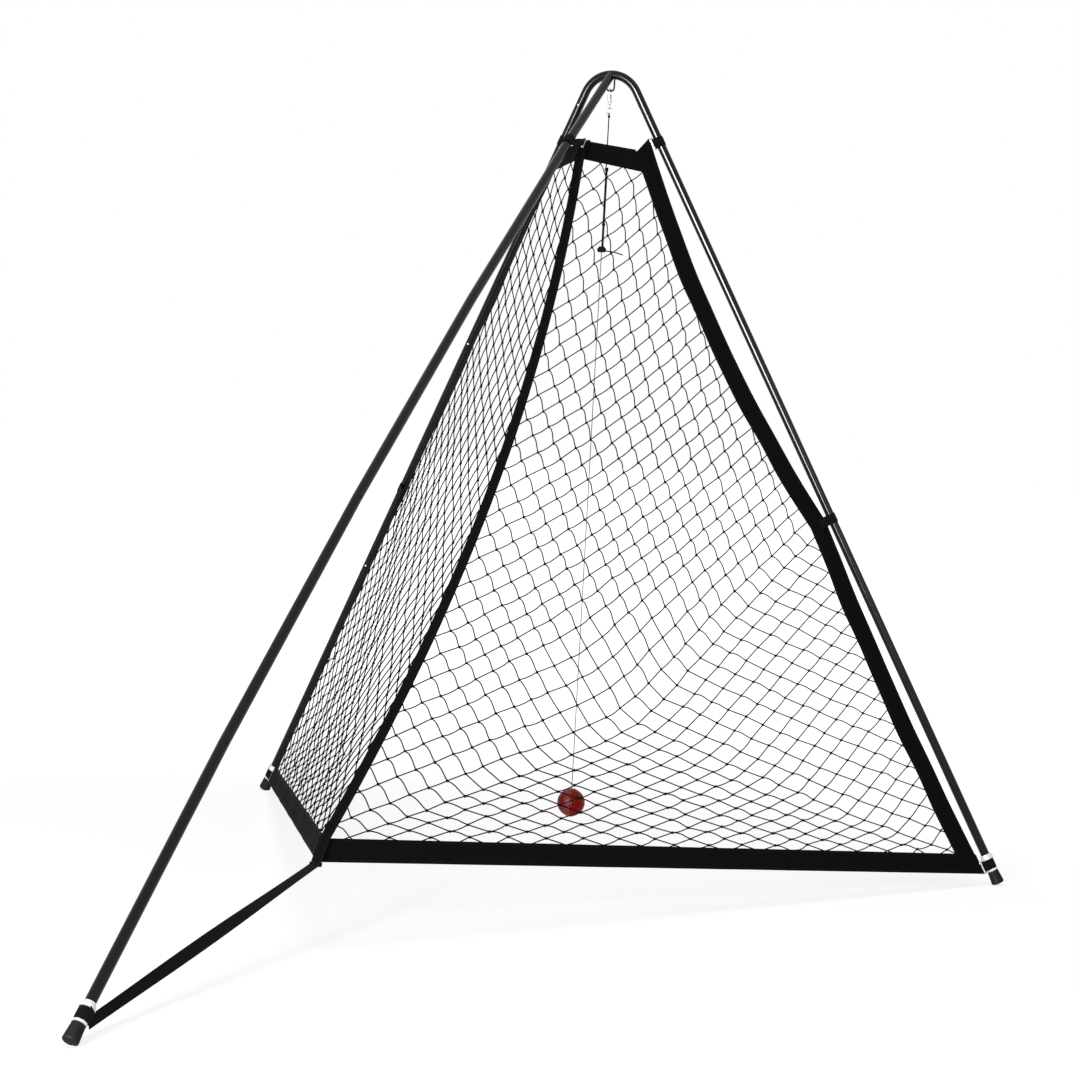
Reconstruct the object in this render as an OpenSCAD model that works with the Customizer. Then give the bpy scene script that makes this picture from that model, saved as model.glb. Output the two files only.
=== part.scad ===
// Hanging-ball batting net: a crown with two legs and a stay pole carries a net of two panels,
// and a ball hangs on a cord from a hook under the crown.
// Millimetres, +Z up. The batter stands on the +Y side, the stay pole reaches to -Y.

/* [Frame] */
// Height at which the lines of the two legs would meet, a little above the crown
apex_height = 2097; // [1750:1:2500]
// Angle of each leg from the middle line of the leg plane
leg_splay = 26.8; // [22:0.1:31]
// Lean of the leg plane from upright
leg_lean = 7.9; // [3:0.1:12]
// Lean of the stay pole from upright
stay_lean = 48.5; // [44:0.1:53]
// Upward bow of the stay pole at its middle
stay_bow = 54; // [30:1:60]

/* [Tubes] */
// Outside diameter of every pole
tube_d = 22.2; // [17:0.1:24]
// Wall of every pole
tube_wall = 1.2; // [1:0.1:1.6]
// Radius of the crown's bend, to the middle of its tube
bend_r = 78; // [65:1:94]
// Distance from the legs' meeting point to the ends of the crown's arms
arch_reach = 216; // [200:1:260]
// Length of the stub that is welded to the crown for the stay pole
stub_len = 309; // [260:1:370]
// Showing length of a leg section
leg_section = 705; // [590:1:846]
// Showing length of a stay section
stay_section = 680; // [570:1:816]
// Length of the neck that plugs into the tube above
neck_len = 60; // [50:1:72]

/* [Feet] */
// Largest diameter of a rubber foot
foot_d = 32; // [28:0.5:38]
// Length of a rubber foot
foot_len = 36; // [32:0.5:43]
// Depth of the flat that a foot wears where it stands
foot_flat = 3; // [2:0.5:4]

/* [Net] */
// Height of the net's low corner
corner_height = 185; // [155:1:222]
// Reach of the net's low corner from the legs' meeting point
corner_reach = 1370; // [1150:1:1500]
// Width of the webbing along the sides and the top
webbing_w = 60; // [50:1:72]
// Width of the webbing along the bottom
bottom_w = 50; // [42:1:60]
// Width of the straps and of the centre band
strap_w = 25; // [21:1:30]
// Width of a net bar
bar_w = 3; // [2.5:0.1:4]
// Rows of gaps in each panel
net_rows = 14; // [10:1:14]
// Gaps across the top of each panel
net_top_gaps = 2; // [2:1:3]
// How far the middle of a panel hangs in
net_belly = 80; // [20:1:100]

/* [Ball] */
// Diameter of the ball
ball_d = 72; // [60:1:86]
// Height of the middle of the ball
ball_height = 124; // [100:1:400]
// Diameter of the hanging cord
cord_d = 3; // [2.5:0.1:4]
// Diameter of the line to the ball
line_d = 2; // [1.6:0.1:2.6]
// Diameter of the hook's wire
hook_wire_d = 4.5; // [4:0.1:5.4]

/* [Hidden] */
$fn = 48;
hull_sides = 32;
// Gap at which neighbouring pieces of one body are seated
seat = 0.3;
// Overlap that joins the shapes of one piece, or clears a cut
bite = 1;
// Gap of a plug in its tube, of a foot or spool on its pole, and of a line in its hole
slide_gap = 0.1;
// Gap of a pin or a wire in its hole
pin_gap = 0.05;

// Tube sizes worked out from the pole
tube_r = tube_d / 2;
bore_r = tube_r - tube_wall;
neck_r = bore_r - slide_gap;
neck_bore_r = neck_r - tube_wall;
joint_gap = 1.2;
shoulder_len = 6;

// Snap button sizes
button_up = 25;
button_r = 3;
button_gap = 0.08;
button_hole_r = button_r + button_gap;
button_flange_r = 4.2;
button_flange_h = 1.2;
button_flange_top = sqrt(pow(neck_bore_r, 2) - pow(button_flange_r, 2)) - seat;
button_proud = 2.5;
leaf_t = 0.7;
leaf_w = 5;
leaf_len = 28;
leaf_back = 5;

// Directions
across = [1, 0, 0];
upward = [0, 0, 1];
function unit(v) = v / norm(v);
function mirror_x(p) = [-p[0], p[1], p[2]];
function sided(p, side) = [side * p[0], p[1], p[2]];

// Places of the frame: the shift puts the middle of the footprint at the origin
plane_down = [0, sin(leg_lean), -cos(leg_lean)];
plane_front = [0, -cos(leg_lean), -sin(leg_lean)];
leg_dir = sin(leg_splay) * across + cos(leg_splay) * plane_down;
leg_len = apex_height / -leg_dir[2];
crown_drop = bend_r / sin(leg_splay) - bend_r;
crown_height = apex_height - crown_drop * cos(leg_lean);
stay_dir = [0, -sin(stay_lean), -cos(stay_lean)];
stay_len = crown_height / cos(stay_lean);
stay_up = [0, -cos(stay_lean), sin(stay_lean)];
leg_back = leg_len * leg_dir[1];
stay_front = stay_len * sin(stay_lean) - crown_drop * sin(leg_lean);
front_shift = (stay_front - leg_back) / 2;
apex = [0, front_shift, apex_height];
crown = apex + crown_drop * plane_down;
function leg_at(s, side) = apex + s * sided(leg_dir, side);
function stay_at(s) =
    let (t = s / stay_len) crown + s * stay_dir + 4 * stay_bow * t * (1 - t) * stay_up;

// Feet: the axis stops short of the ground so that the low rim is worn flat by foot_flat
foot_r = foot_d / 2;
foot_taper = 2.5;
foot_top_r = foot_r - foot_taper;
foot_floor = 8;
leg_tilt = acos(-leg_dir[2]);
leg_foot_s = leg_len - foot_r * tan(leg_tilt) + foot_flat / cos(leg_tilt);
leg_pole_s = leg_foot_s - foot_floor - seat;
stay_joint_s = [for (k = [0:3]) stub_len + k * stay_section];
stay_last_dir = unit(stay_at(stay_len) - stay_at(stay_joint_s[3]));
stay_tilt = acos(-stay_last_dir[2]);
stay_last_len = norm(stay_at(stay_len) - stay_at(stay_joint_s[3]));
stay_foot_len = stay_last_len - foot_r * tan(stay_tilt) + foot_flat / cos(stay_tilt);
stay_last_start = stay_at(stay_joint_s[3]);
stay_foot_end = stay_last_start + stay_foot_len * stay_last_dir;
stay_pole_end = stay_last_start + (stay_foot_len - foot_floor - seat) * stay_last_dir;

// Spools above the feet, heights along the pole from the foot's end
spool_low = foot_len + seat;
spool_rim = 5;
strap_room = 1;
spool_waist = strap_w + strap_room;
spool_bell = 13;
spool_wall = 1.5;
rim_out = 2.2;
bell_out = 3.7;
waist_r = tube_r + spool_wall;
spool_rim_r = waist_r + rim_out;
spool_bell_r = waist_r + bell_out;
spool_mid = spool_low + spool_rim + spool_waist / 2;

// Leg joints and strap places, distances down the leg from the meeting point
leg_joint_s = [for (k = [0:2]) arch_reach + k * leg_section];
top_strap_below = 80;
mid_strap_sections = 1.61;
stay_strap_below = 19;
top_strap_s = arch_reach + top_strap_below;
mid_strap_s = arch_reach + mid_strap_sections * leg_section;
foot_strap_s = leg_foot_s - spool_mid;

// Strap and ring sizes
strap_t = 1.5;
wire_d = 3;
wire_r = wire_d / 2;
ring_more = 5;
ring_long = strap_w + ring_more;
ring_wide = 9;
ring_corner = 3;
ring_slot_r = wire_r + seat;
ring_inset = 2;
top_ring_off = 8;
foot_ring_off = 8.5;
top_ring_d = tube_r + top_ring_off;
foot_ring_d = waist_r + foot_ring_off;

// Panel plane: d runs from the leg toward the low corner, s runs down the leg
corner = apex + [0, -corner_reach, corner_height - apex_height];
corner_in_s = (corner - apex) * leg_dir;
panel_d_dir = unit(corner - apex - corner_in_s * leg_dir);
panel_in = cross(leg_dir, panel_d_dir);
function panel(s, d) = apex + s * leg_dir + d * panel_d_dir;
function s_of(p) = (p - apex) * leg_dir;
function d_of(p) = (p - apex) * panel_d_dir;

// Line from the crown to the low corner, where the two panels meet
webbing_t = 2.5;
fall_dir = unit(corner - crown);
fall_in = [0, -fall_dir[2], fall_dir[1]];
top_webbing_fall = 234;
net_top_fall = top_webbing_fall + webbing_w;

// Side webbing: the outer edge hangs off the leg between its three ties
edge_top_d = top_ring_d + ring_wide + wire_r + seat;
edge_mid_off = 12;
edge_mid_d = tube_r + edge_mid_off;
edge_foot_d = foot_ring_d + ring_wide + wire_r + seat;
edge_upper_sag = 53;
edge_lower_sag = 16;
settle_steps = 5;
function swag(s, s0, s1, d0, d1, sag) =
    let (t = (s - s0) / (s1 - s0)) d0 + t * (d1 - d0) + 4 * sag * t * (1 - t);
function edge_out(s) = s < mid_strap_s
    ? swag(max(s, top_strap_s), top_strap_s, mid_strap_s, edge_top_d, edge_mid_d, edge_upper_sag)
    : swag(s, mid_strap_s, foot_strap_s, edge_mid_d, edge_foot_d, edge_lower_sag);
function edge_in(s) = edge_out(s) + webbing_w;
edge_top_s = top_strap_s - ring_long / 2 - ring_inset;
net_edge_top_s = top_strap_s + webbing_w;
edge_slope = (edge_in(net_edge_top_s) - edge_in(edge_top_s)) / (net_edge_top_s - edge_top_s);
function edge_in_top(s) = edge_in(edge_top_s) + edge_slope * (s - edge_top_s);

// Bottom webbing: straight from the leg's foot ring to the low corner
bottom_leg = [edge_foot_d, foot_strap_s + ring_long / 2];
bottom_corner = [d_of(corner), s_of(corner)];
bottom_dir = unit(bottom_corner - bottom_leg);
bottom_up = [-bottom_dir[1], bottom_dir[0]] * (bottom_dir[0] > 0 ? -1 : 1);
function bottom_line(d, rise) =
    let (p = bottom_leg + rise * bottom_up) p[1] + (d - p[0]) * bottom_dir[1] / bottom_dir[0];
function edge_meets(wide, rise, s, steps) =
    steps == 0 ? s : edge_meets(wide, rise, bottom_line(edge_out(s) + wide, rise), steps - 1);
net_rise = bottom_w + 2 * seat;
fall_rise = -fall_dir * (bottom_up[0] * panel_d_dir + bottom_up[1] * leg_dir);

// Centre band: straight past the top and bottom webbing, hanging in between them, in front of the net
band_t = 2;
band_half = strap_w / 2;
band_front = band_t / 2 + seat + max(bar_w, webbing_t) / 2;
band_sag = 160;
band_sag_lead = 180;
band_top = crown + net_top_fall * fall_dir;
band_low = corner - net_rise / fall_rise * fall_dir;
band_pull = (band_top + band_low) / 2 + 2 * band_sag * fall_in - band_sag_lead * fall_dir;
function band_at(w) = pow(1 - w, 2) * band_top + 2 * w * (1 - w) * band_pull + w * w * band_low;
function band_in(w) =
    let (t = unit((1 - w) * (band_pull - band_top) + w * (band_low - band_pull))) [0, -t[2], t[1]];

// Net rows: the centre side hangs behind the band, the outer side follows the side webbing
net_edge_low_s = edge_meets(webbing_w + seat, net_rise, foot_strap_s - bottom_w, settle_steps);
net_side = seat / 2 + bar_w / 2 * abs(panel_in[0]);
function row_edge_s(i) = net_edge_top_s + (net_edge_low_s - net_edge_top_s) * i / net_rows;
// The belly hangs below the middle of the panel
belly_low = 2.1;
function net_hang(u, v) = net_belly * sin(180 * u) * sin(180 * pow(v, belly_low));
function net_point(i, j) =
    let (u = j / (net_top_gaps + i), v = i / net_rows, s = row_edge_s(i),
         a = band_at(v) + net_side * across,
         b = panel(s, edge_in(s) + seat))
    a + u * (b - a) + net_hang(u, v) * panel_in;

// Hook under the crown
hook_wire_r = hook_wire_d / 2;
hook_corner = 7.5;
hook_flat = 5;
hook_side = hook_corner + hook_flat / 2;
hook_below = 30;
hook_drop = tube_r + hook_below;
hook_bottom = crown - hook_drop * upward;
hook_tip = 3;

// Bolt snap, heights measured from the middle of its loop
snap_wire_r = 1.8;
loop_r = 6.5;
loop_clear = 0.4;
snap_mid = hook_bottom + (hook_wire_r + loop_clear + snap_wire_r - loop_r) * upward;
bolt_r = 1.6;
bolt_bore_r = bolt_r + pin_gap;
barrel_r = 4;
barrel_top = -8;
barrel_low = -23;
bore_low = -21.5;
bolt_low = -14;
bolt_top = -seat;
stud_z = -11.5;
stud_r = 1.1;
slot_half = stud_r + seat;
slot_low = -19;
base_r = 4.8;
base_top = -20;
base_low = -29;
pivot_r = 1.7;
pivot_bore_r = pivot_r + pin_gap;
pivot_head_r = 2.8;
pivot_head_h = 1.6;
pivot_head_gap = 0.35;
pivot_pocket_r = pivot_head_r + pivot_head_gap;
pivot_pocket_low = -25.5;
pivot_pocket_top = -23.3;
eye_wire_r = 1.3;
eye_wide = 11;
eye_high = 11;
eye_corner = 3;
eye_top = -32;
eye_bar = eye_top - eye_high;

// Split ring, cord, line and ball
split_wire_r = 0.9;
split_r = 8.5;
split_mid = eye_bar + eye_wire_r + seat + split_wire_r - split_r;
split_low = split_mid - split_r;
knot_loop_r = 3.4;
knot_loop_wire = 1.2;
knot_r = 3.3;
cord_r = cord_d / 2;
line_r = line_d / 2;
hang = [snap_mid[0], snap_mid[1], 0];
ring_knot_z = snap_mid[2] + split_low - knot_loop_r - knot_r + bite;
cord_top_z = ring_knot_z - knot_r + bite;
drop_len = cord_top_z - ball_height;
// Places of the three lower knots, as parts of the drop
hitch_part = 0.075;
bead_part = 0.154;
slide_part = 0.190;
hitch_z = cord_top_z - hitch_part * drop_len;
bead_z = cord_top_z - bead_part * drop_len;
slide_z = cord_top_z - slide_part * drop_len;
slide_knot_r = 8;
slide_lobe = 3.5;
hitch_r = 3.6;
tail_len = 52;
tail_drop = 9;
ball_r = ball_d / 2;
ball_mid = hang + ball_height * upward;
cover_t = 4;
ball_gap = 0.25;
seam_proud = 0.7;
seam_half = 9;
line_in = 3;

// Places children with their x, y and z along three given directions
module set_in(p, x, y, z) {
    multmatrix([[x[0], y[0], z[0], p[0]], [x[1], y[1], z[1], p[1]], [x[2], y[2], z[2], p[2]],
        [0, 0, 0, 1]]) children();
}

// Places children with their z along a direction, x kept level or across
module along(p, dir) {
    z = unit(dir);
    x = unit(cross(abs(z[0]) < 0.9 ? across : upward, z));
    set_in(p, x, cross(z, x), z) children();
}

// Places children on the panel: x is d, y is up the leg, z is inward
module on_panel(side) {
    mirror([side < 0 ? 1 : 0, 0, 0])
        set_in(apex, panel_d_dir, -leg_dir, panel_in) children();
}

// A round bar from one point to another
module bar(p, q, r) {
    along(p, q - p) cylinder(r = r, h = norm(q - p));
}

// The full round of the crown's arms and bend, at a given radius; the bend swells a hair over the arms
module crown_round(r, more = 0) {
    tangent = bend_r / tan(leg_splay);
    swell = 0.05;
    for (side = [-1, 1])
        bar(leg_at(tangent - bite, side), leg_at(arch_reach + more, side), r);
    set_in(apex + bend_r / sin(leg_splay) * plane_down, across, -plane_down, cross(across, -plane_down))
        rotate([0, 0, leg_splay])
            rotate_extrude(angle = 180 - 2 * leg_splay) translate([bend_r, 0]) circle(r = r + swell);
}

// Straight run of the stub and its direction; a hair thinner than the crown, for a clean weld line
weld_step = 0.1;
stub_r = tube_r - weld_step;
stub_end = stay_at(stub_len);
stub_dir = unit(stub_end - crown);

// Way a button points: inward on the right leg, to the front on the left leg, down under the stay
right_button_dir = unit(cross(leg_dir, plane_front));
left_button_dir = plane_front;
function leg_button_dir(side) = side > 0 ? right_button_dir : left_button_dir;
function stay_section_dir(k) =
    k == 0 ? stub_dir : unit(stay_at(stay_joint_s[k]) - stay_at(stay_joint_s[k - 1]));
function stay_button_dir(k) = let (d = stay_section_dir(k)) [0, -d[2], d[1]];

// The hole for a snap button, a little above a joint
module button_hole(joint, dir, button_dir) {
    along(joint - button_up * dir, button_dir) cylinder(r = button_hole_r, h = tube_r + bite);
}

module apex_head() {
    color("#1c1c1e") difference() {
        union() {
            difference() {
                crown_round(tube_r);
                crown_round(bore_r, bite);
            }
            difference() {
                bar(crown, stub_end, stub_r);
                bar(crown, stub_end + bite * stub_dir, bore_r);
                crown_round(bore_r, bite);
            }
        }
        button_hole(leg_at(leg_joint_s[0], 1), leg_dir, right_button_dir);
        button_hole(leg_at(leg_joint_s[0], -1), mirror_x(leg_dir), left_button_dir);
        button_hole(stub_end, stub_dir, stay_button_dir(0));
        translate(crown + hook_side * across - hook_drop * upward)
            cylinder(r = hook_wire_r + pin_gap, h = hook_drop);
    }
}

module ball_hook() {
    shank_top = hook_drop - tube_r + tube_wall;
    color("#2a2a2c") translate(hook_bottom) {
        translate([-hook_flat / 2, 0, 0]) rotate([0, 90, 0]) cylinder(r = hook_wire_r, h = hook_flat);
        for (side = [-1, 1])
            translate([side * hook_flat / 2, 0, hook_corner]) mirror([side < 0 ? 1 : 0, 0, 0])
                rotate([90, 0, 0]) rotate([0, 0, -90])
                    rotate_extrude(angle = 90) translate([hook_corner, 0]) circle(r = hook_wire_r);
        translate([hook_side, 0, hook_corner]) cylinder(r = hook_wire_r, h = shank_top - hook_corner);
        translate([-hook_side, 0, hook_corner]) cylinder(r = hook_wire_r, h = hook_tip);
        translate([-hook_side, 0, hook_corner + hook_tip]) sphere(r = hook_wire_r);
    }
}

// One pole section with its neck; the neck follows the tube above
module pole(top, low, above, button_dir) {
    dir = unit(low - top);
    start = top + joint_gap * dir;
    difference() {
        union() {
            bar(start, low, tube_r);
            bar(top + shoulder_len / 2 * above, top - neck_len * above, neck_r);
        }
        bar(start + shoulder_len * dir, low + bite * dir, bore_r);
        bar(top + (shoulder_len + 2 * bite) * above, top - (neck_len + bite) * above, neck_bore_r);
        button_hole(top, above, button_dir);
    }
}

module leg_pole(k, side) {
    dir = sided(leg_dir, side);
    button_dir = leg_button_dir(side);
    low_s = k < 2 ? leg_joint_s[k + 1] : leg_pole_s;
    color("#1c1c1e") difference() {
        pole(leg_at(leg_joint_s[k], side), leg_at(low_s, side), dir, button_dir);
        if (k < 2)
            button_hole(leg_at(low_s, side), dir, button_dir);
    }
}

module stay_pole(k) {
    low = k < 3 ? stay_at(stay_joint_s[k + 1]) : stay_pole_end;
    color("#232325") difference() {
        pole(stay_at(stay_joint_s[k]), low, stay_section_dir(k), stay_button_dir(k));
        if (k < 3)
            button_hole(low, stay_section_dir(k + 1), stay_button_dir(k + 1));
    }
}

// A snap button, its stem along z from the middle of the tube
module button(joint, dir, button_dir) {
    color("#b9bcc0") along(joint - button_up * dir, button_dir) {
        translate([0, 0, button_flange_top - button_flange_h])
            cylinder(r = button_flange_r, h = button_flange_h);
        translate([0, 0, button_flange_top - bite])
            cylinder(r = button_r, h = tube_r + button_proud - button_r - button_flange_top + bite);
        translate([0, 0, tube_r + button_proud - button_r]) sphere(r = button_r);
    }
}

module leg_button(k, side) {
    button(leg_at(leg_joint_s[k], side), sided(leg_dir, side), leg_button_dir(side));
}

module stay_button(k) {
    button(stay_at(stay_joint_s[k]), stay_section_dir(k), stay_button_dir(k));
}

// A bent leaf spring inside the neck, from the far wall to the button's flange
module leaf(joint, dir, button_dir) {
    far = -(sqrt(pow(neck_bore_r, 2) - pow(leaf_w / 2, 2)) - seat);
    near = button_flange_top - button_flange_h - seat;
    bend = (far + near) / 2;
    bend_t = leaf_t * leaf_len / (near - bend);
    set_in(joint - button_up * dir, -dir, cross(button_dir, -dir), button_dir)
        rotate([90, 0, 0]) translate([0, 0, -leaf_w / 2]) linear_extrude(leaf_w)
            polygon([[-leaf_back, near], [leaf_len, bend], [-leaf_back, far], [-leaf_back, far + leaf_t],
                [leaf_len - bend_t, bend], [-leaf_back, near - leaf_t]]);
}

module button_springs() {
    color("#8d9094") {
        for (k = [0:2])
            for (side = [-1, 1])
                leaf(leg_at(leg_joint_s[k], side), sided(leg_dir, side), leg_button_dir(side));
        for (k = [0:3])
            leaf(stay_at(stay_joint_s[k]), stay_section_dir(k), stay_button_dir(k));
    }
}

// A rubber foot, z running up the pole from the foot's end
module foot(tip, dir) {
    corner_in = 3;
    corner_cut = 0.9;
    floor_size = 200;
    color("#161617") difference() {
        along(tip, -dir) rotate_extrude()
            polygon([[0, 0], [foot_r - corner_in, 0], [foot_r - corner_cut, corner_cut], [foot_r, corner_in],
                [foot_top_r, foot_len - corner_cut], [foot_top_r - corner_cut, foot_len],
                [tube_r + slide_gap, foot_len], [tube_r + slide_gap, foot_floor], [0, foot_floor]]);
        translate([tip[0] - floor_size / 2, tip[1] - floor_size / 2, -floor_size])
            cube(floor_size);
    }
}

// A strap spool, z running up the pole from the foot's end
module spool(tip, dir) {
    waist_low = spool_low + spool_rim;
    waist_top = waist_low + spool_waist;
    bell_top = waist_top + spool_bell;
    bell_edge = 3;
    bell_lip = 1.2;
    rim_cut = 1;
    hole_r = tube_r + slide_gap;
    color("#e6e4de") along(tip, -dir) rotate_extrude()
        polygon([[hole_r, spool_low], [spool_rim_r, spool_low], [spool_rim_r, waist_low - rim_cut],
            [spool_rim_r - rim_cut, waist_low], [waist_r, waist_low], [waist_r, waist_top],
            [spool_bell_r, waist_top], [spool_bell_r, waist_top + bell_edge],
            [hole_r + bell_lip, bell_top], [hole_r, bell_top]]);
}

// Net panel: knots joined by bars, one gap in each cell, drawn as one skin
function row_start(i) = i * (net_top_gaps + 1) + i * (i - 1) / 2;
function knot_index(i, j) = row_start(i) + j;
knot_count = row_start(net_rows + 1);
net_knots = [for (i = [0:net_rows]) for (j = [0:net_top_gaps + i]) net_point(i, j)];
net_cells = concat(
    [for (j = [0:net_top_gaps - 1]) [knot_index(0, j), knot_index(1, j + 1), knot_index(0, j + 1)]],
    [for (i = [0:net_rows - 2]) for (j = [0:net_top_gaps + i])
        [knot_index(i, j), knot_index(i + 1, j), knot_index(i + 2, j + 1), knot_index(i + 1, j + 1)]],
    [for (j = [0:net_top_gaps + net_rows - 1])
        [knot_index(net_rows - 1, j), knot_index(net_rows, j), knot_index(net_rows, j + 1)]]);
function middle(ps) = [for (k = [0:2]) ([for (p = ps) 1] * [for (p = ps) p[k]]) / len(ps)];
function line_gap(c, p, q) = norm(cross(c - p, unit(q - p)));
function inset(ps) =
    let (c = middle(ps), m = len(ps),
         gap = min([for (k = [0:m - 1]) line_gap(c, ps[k], ps[(k + 1) % m])]),
         f = 1 - bar_w / 2 / gap)
    [for (p = ps) c + f * (p - c)];
cell_starts = [for (k = 0, at = 0; k < len(net_cells); at = at + len(net_cells[k]), k = k + 1) at];
gap_points = [for (cell = net_cells) each inset([for (k = cell) net_knots[k]])];
net_rim = concat([for (j = [0:net_top_gaps]) knot_index(0, j)],
    [for (i = [1:net_rows]) knot_index(i, net_top_gaps + i)],
    [for (j = [net_top_gaps + net_rows - 1:-1:0]) knot_index(net_rows, j)],
    [for (i = [net_rows - 1:-1:1]) knot_index(i, 0)]);

module net_skin() {
    half = bar_w / 2 * panel_in;
    flat = concat(net_knots, gap_points);
    n = len(flat);
    rim = len(net_rim);
    points = concat([for (p = flat) p - half], [for (p = flat) p + half]);
    bars = [for (c = [0:len(net_cells) - 1]) for (k = [0:len(net_cells[c]) - 1])
        let (m = len(net_cells[c]), k2 = (k + 1) % m, p = net_cells[c][k], q = net_cells[c][k2],
             a = knot_count + cell_starts[c] + k, b = knot_count + cell_starts[c] + k2)
        [[p, q, b], [p, b, a], [p + n, b + n, q + n], [p + n, a + n, b + n], [a, b, b + n],
            [a, b + n, a + n]]];
    walls = [for (k = [0:rim - 1])
        let (p = net_rim[k], q = net_rim[(k + 1) % rim])
        [[p, q, q + n], [p, q + n, p + n]]];
    polyhedron(points, concat([for (f = bars) each f], [for (f = walls) each f]));
}

module net(side) {
    color("#19191a") mirror([side < 0 ? 1 : 0, 0, 0]) net_skin();
}

// Side webbing, its inner edge cut at the same places as the net's rows
module edge_webbing(side) {
    low_out = edge_meets(0, bottom_w + seat, foot_strap_s, settle_steps);
    low_in = edge_meets(webbing_w, bottom_w + seat, foot_strap_s - bottom_w, settle_steps);
    rows = [for (i = [0:net_rows]) row_edge_s(i)];
    outer = concat([edge_top_s], [for (s = rows) if (s < low_out) s], [low_out]);
    color("#151516") on_panel(side) translate([0, 0, -webbing_t / 2]) linear_extrude(webbing_t)
        polygon(concat([for (s = outer) [edge_out(s), -s]],
            [[edge_in(low_in), -low_in]],
            [for (i = [net_rows:-1:0]) [edge_in(rows[i]), -rows[i]]],
            [[edge_in(edge_top_s), -edge_top_s]]));
}

// Where the webbing of the two sides meets, behind the centre band
webbing_end_x = seat / 2 + webbing_t / 2 * abs(panel_in[0]);

// Bottom webbing, from the foot ring to behind the centre band
module bottom_webbing(side) {
    function end_d(rise) =
        let (p = bottom_leg + rise * bottom_up, start = panel(p[1], p[0]),
             step = bottom_dir[1] * leg_dir + bottom_dir[0] * panel_d_dir)
        p[0] + bottom_dir[0] * (webbing_end_x - start[0]) / step[0];
    high_s = bottom_line(edge_foot_d, bottom_w);
    color("#151516") on_panel(side) translate([0, 0, -webbing_t / 2]) linear_extrude(webbing_t)
        polygon([[edge_foot_d, -bottom_leg[1]], [edge_foot_d, -high_s],
            [end_d(bottom_w), -bottom_line(end_d(bottom_w), bottom_w)],
            [end_d(0), -bottom_line(end_d(0), 0)]]);
}

// Top webbing, from the side webbing to behind the centre band
module top_webbing(side) {
    function band_side(fall) = d_of(crown + fall * fall_dir) + webbing_end_x / panel_d_dir[0];
    high = crown + top_webbing_fall * fall_dir;
    low = crown + (net_top_fall - seat) * fall_dir;
    high_edge_s = top_strap_s + bite;
    low_edge_s = net_edge_top_s - seat;
    color("#151516") on_panel(side) translate([0, 0, -webbing_t / 2]) linear_extrude(webbing_t)
        polygon([[edge_in_top(high_edge_s) + seat, -high_edge_s],
            [edge_in_top(low_edge_s) + seat, -low_edge_s],
            [band_side(net_top_fall - seat), -s_of(low)], [band_side(top_webbing_fall), -s_of(high)]]);
}

// Centre band, bent at the same places as the net's rows
module centre_webbing() {
    near = -(band_front - band_t / 2);
    far = near - band_t;
    ends = [crown + top_webbing_fall * fall_dir, corner];
    function stop(w, off) = let (p = band_at(w) + off * band_in(w)) [p[1], p[2]];
    function end(k, off) = let (p = ends[k] + off * fall_in) [p[1], p[2]];
    color("#151516") rotate([90, 0, 90]) translate([0, 0, -band_half]) linear_extrude(strap_w)
        polygon(concat([end(0, near)], [for (i = [0:net_rows]) stop(i / net_rows, near)],
            [end(1, near), end(1, far)], [for (i = [net_rows:-1:0]) stop(i / net_rows, far)], [end(0, far)]));
}

// A strap looped round two bars
module belt(p, p_dir, p_r, q, q_dir, q_r, p_w, q_w) {
    difference() {
        hull() {
            along(p - p_w / 2 * p_dir, p_dir) cylinder(r = p_r + strap_t, h = p_w, $fn = hull_sides);
            along(q - q_w / 2 * q_dir, q_dir) cylinder(r = q_r + strap_t, h = q_w, $fn = hull_sides);
        }
        hull() {
            along(p - p_w * p_dir, p_dir) cylinder(r = p_r, h = 2 * p_w, $fn = hull_sides);
            along(q - q_w * q_dir, q_dir) cylinder(r = q_r, h = 2 * q_w, $fn = hull_sides);
        }
    }
}

module top_strap(side) {
    color("#111112") mirror([side < 0 ? 1 : 0, 0, 0])
        belt(panel(top_strap_s, 0), leg_dir, tube_r + seat, panel(top_strap_s, top_ring_d), leg_dir,
            ring_slot_r, strap_w, strap_w);
}

module middle_strap(side) {
    taken_in = 0.6;
    slot_d = edge_mid_d + taken_in * webbing_w;
    slot_t = webbing_t + 2 * seat;
    color("#111112") difference() {
        mirror([side < 0 ? 1 : 0, 0, 0])
            belt(panel(mid_strap_s, 0), leg_dir, tube_r + seat, panel(mid_strap_s, slot_d), leg_dir,
                webbing_t / 2 + seat, strap_w, strap_w);
        on_panel(side) translate([edge_mid_d - bite, -mid_strap_s - strap_w, -slot_t / 2])
            cube([webbing_w, 2 * strap_w, slot_t]);
    }
}

module foot_strap(side) {
    color("#111112") mirror([side < 0 ? 1 : 0, 0, 0])
        belt(panel(foot_strap_s, 0), leg_dir, waist_r + seat, panel(foot_strap_s, foot_ring_d), leg_dir,
            ring_slot_r, strap_w, strap_w);
}

// Ring at the top of the stay: it stands on the front face of the centre band
stay_ring_fall = top_webbing_fall + ring_long / 2 + ring_inset;
stay_ring_front = -fall_in;
stay_ring_off = band_front + band_t / 2 + seat + wire_r;
stay_ring_bar = crown + stay_ring_fall * fall_dir + stay_ring_off * stay_ring_front;
stay_ring_near = stay_ring_bar + ring_wide * stay_ring_front;

// The slanting strap is gathered a little in this ring
gathered_by = 3;

module stay_top_strap() {
    p_dir = stay_section_dir(1);
    color("#111112") belt(stub_end + stay_strap_below * p_dir, p_dir, tube_r + seat,
        stay_ring_near, fall_dir, ring_slot_r + seat, strap_w, strap_w - gathered_by);
}

// Cuff on the stay's spool, its loose end standing off at the side
cuff_mid = stay_foot_end - spool_mid * stay_last_dir;
cuff_r = waist_r + seat + strap_t;

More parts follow.
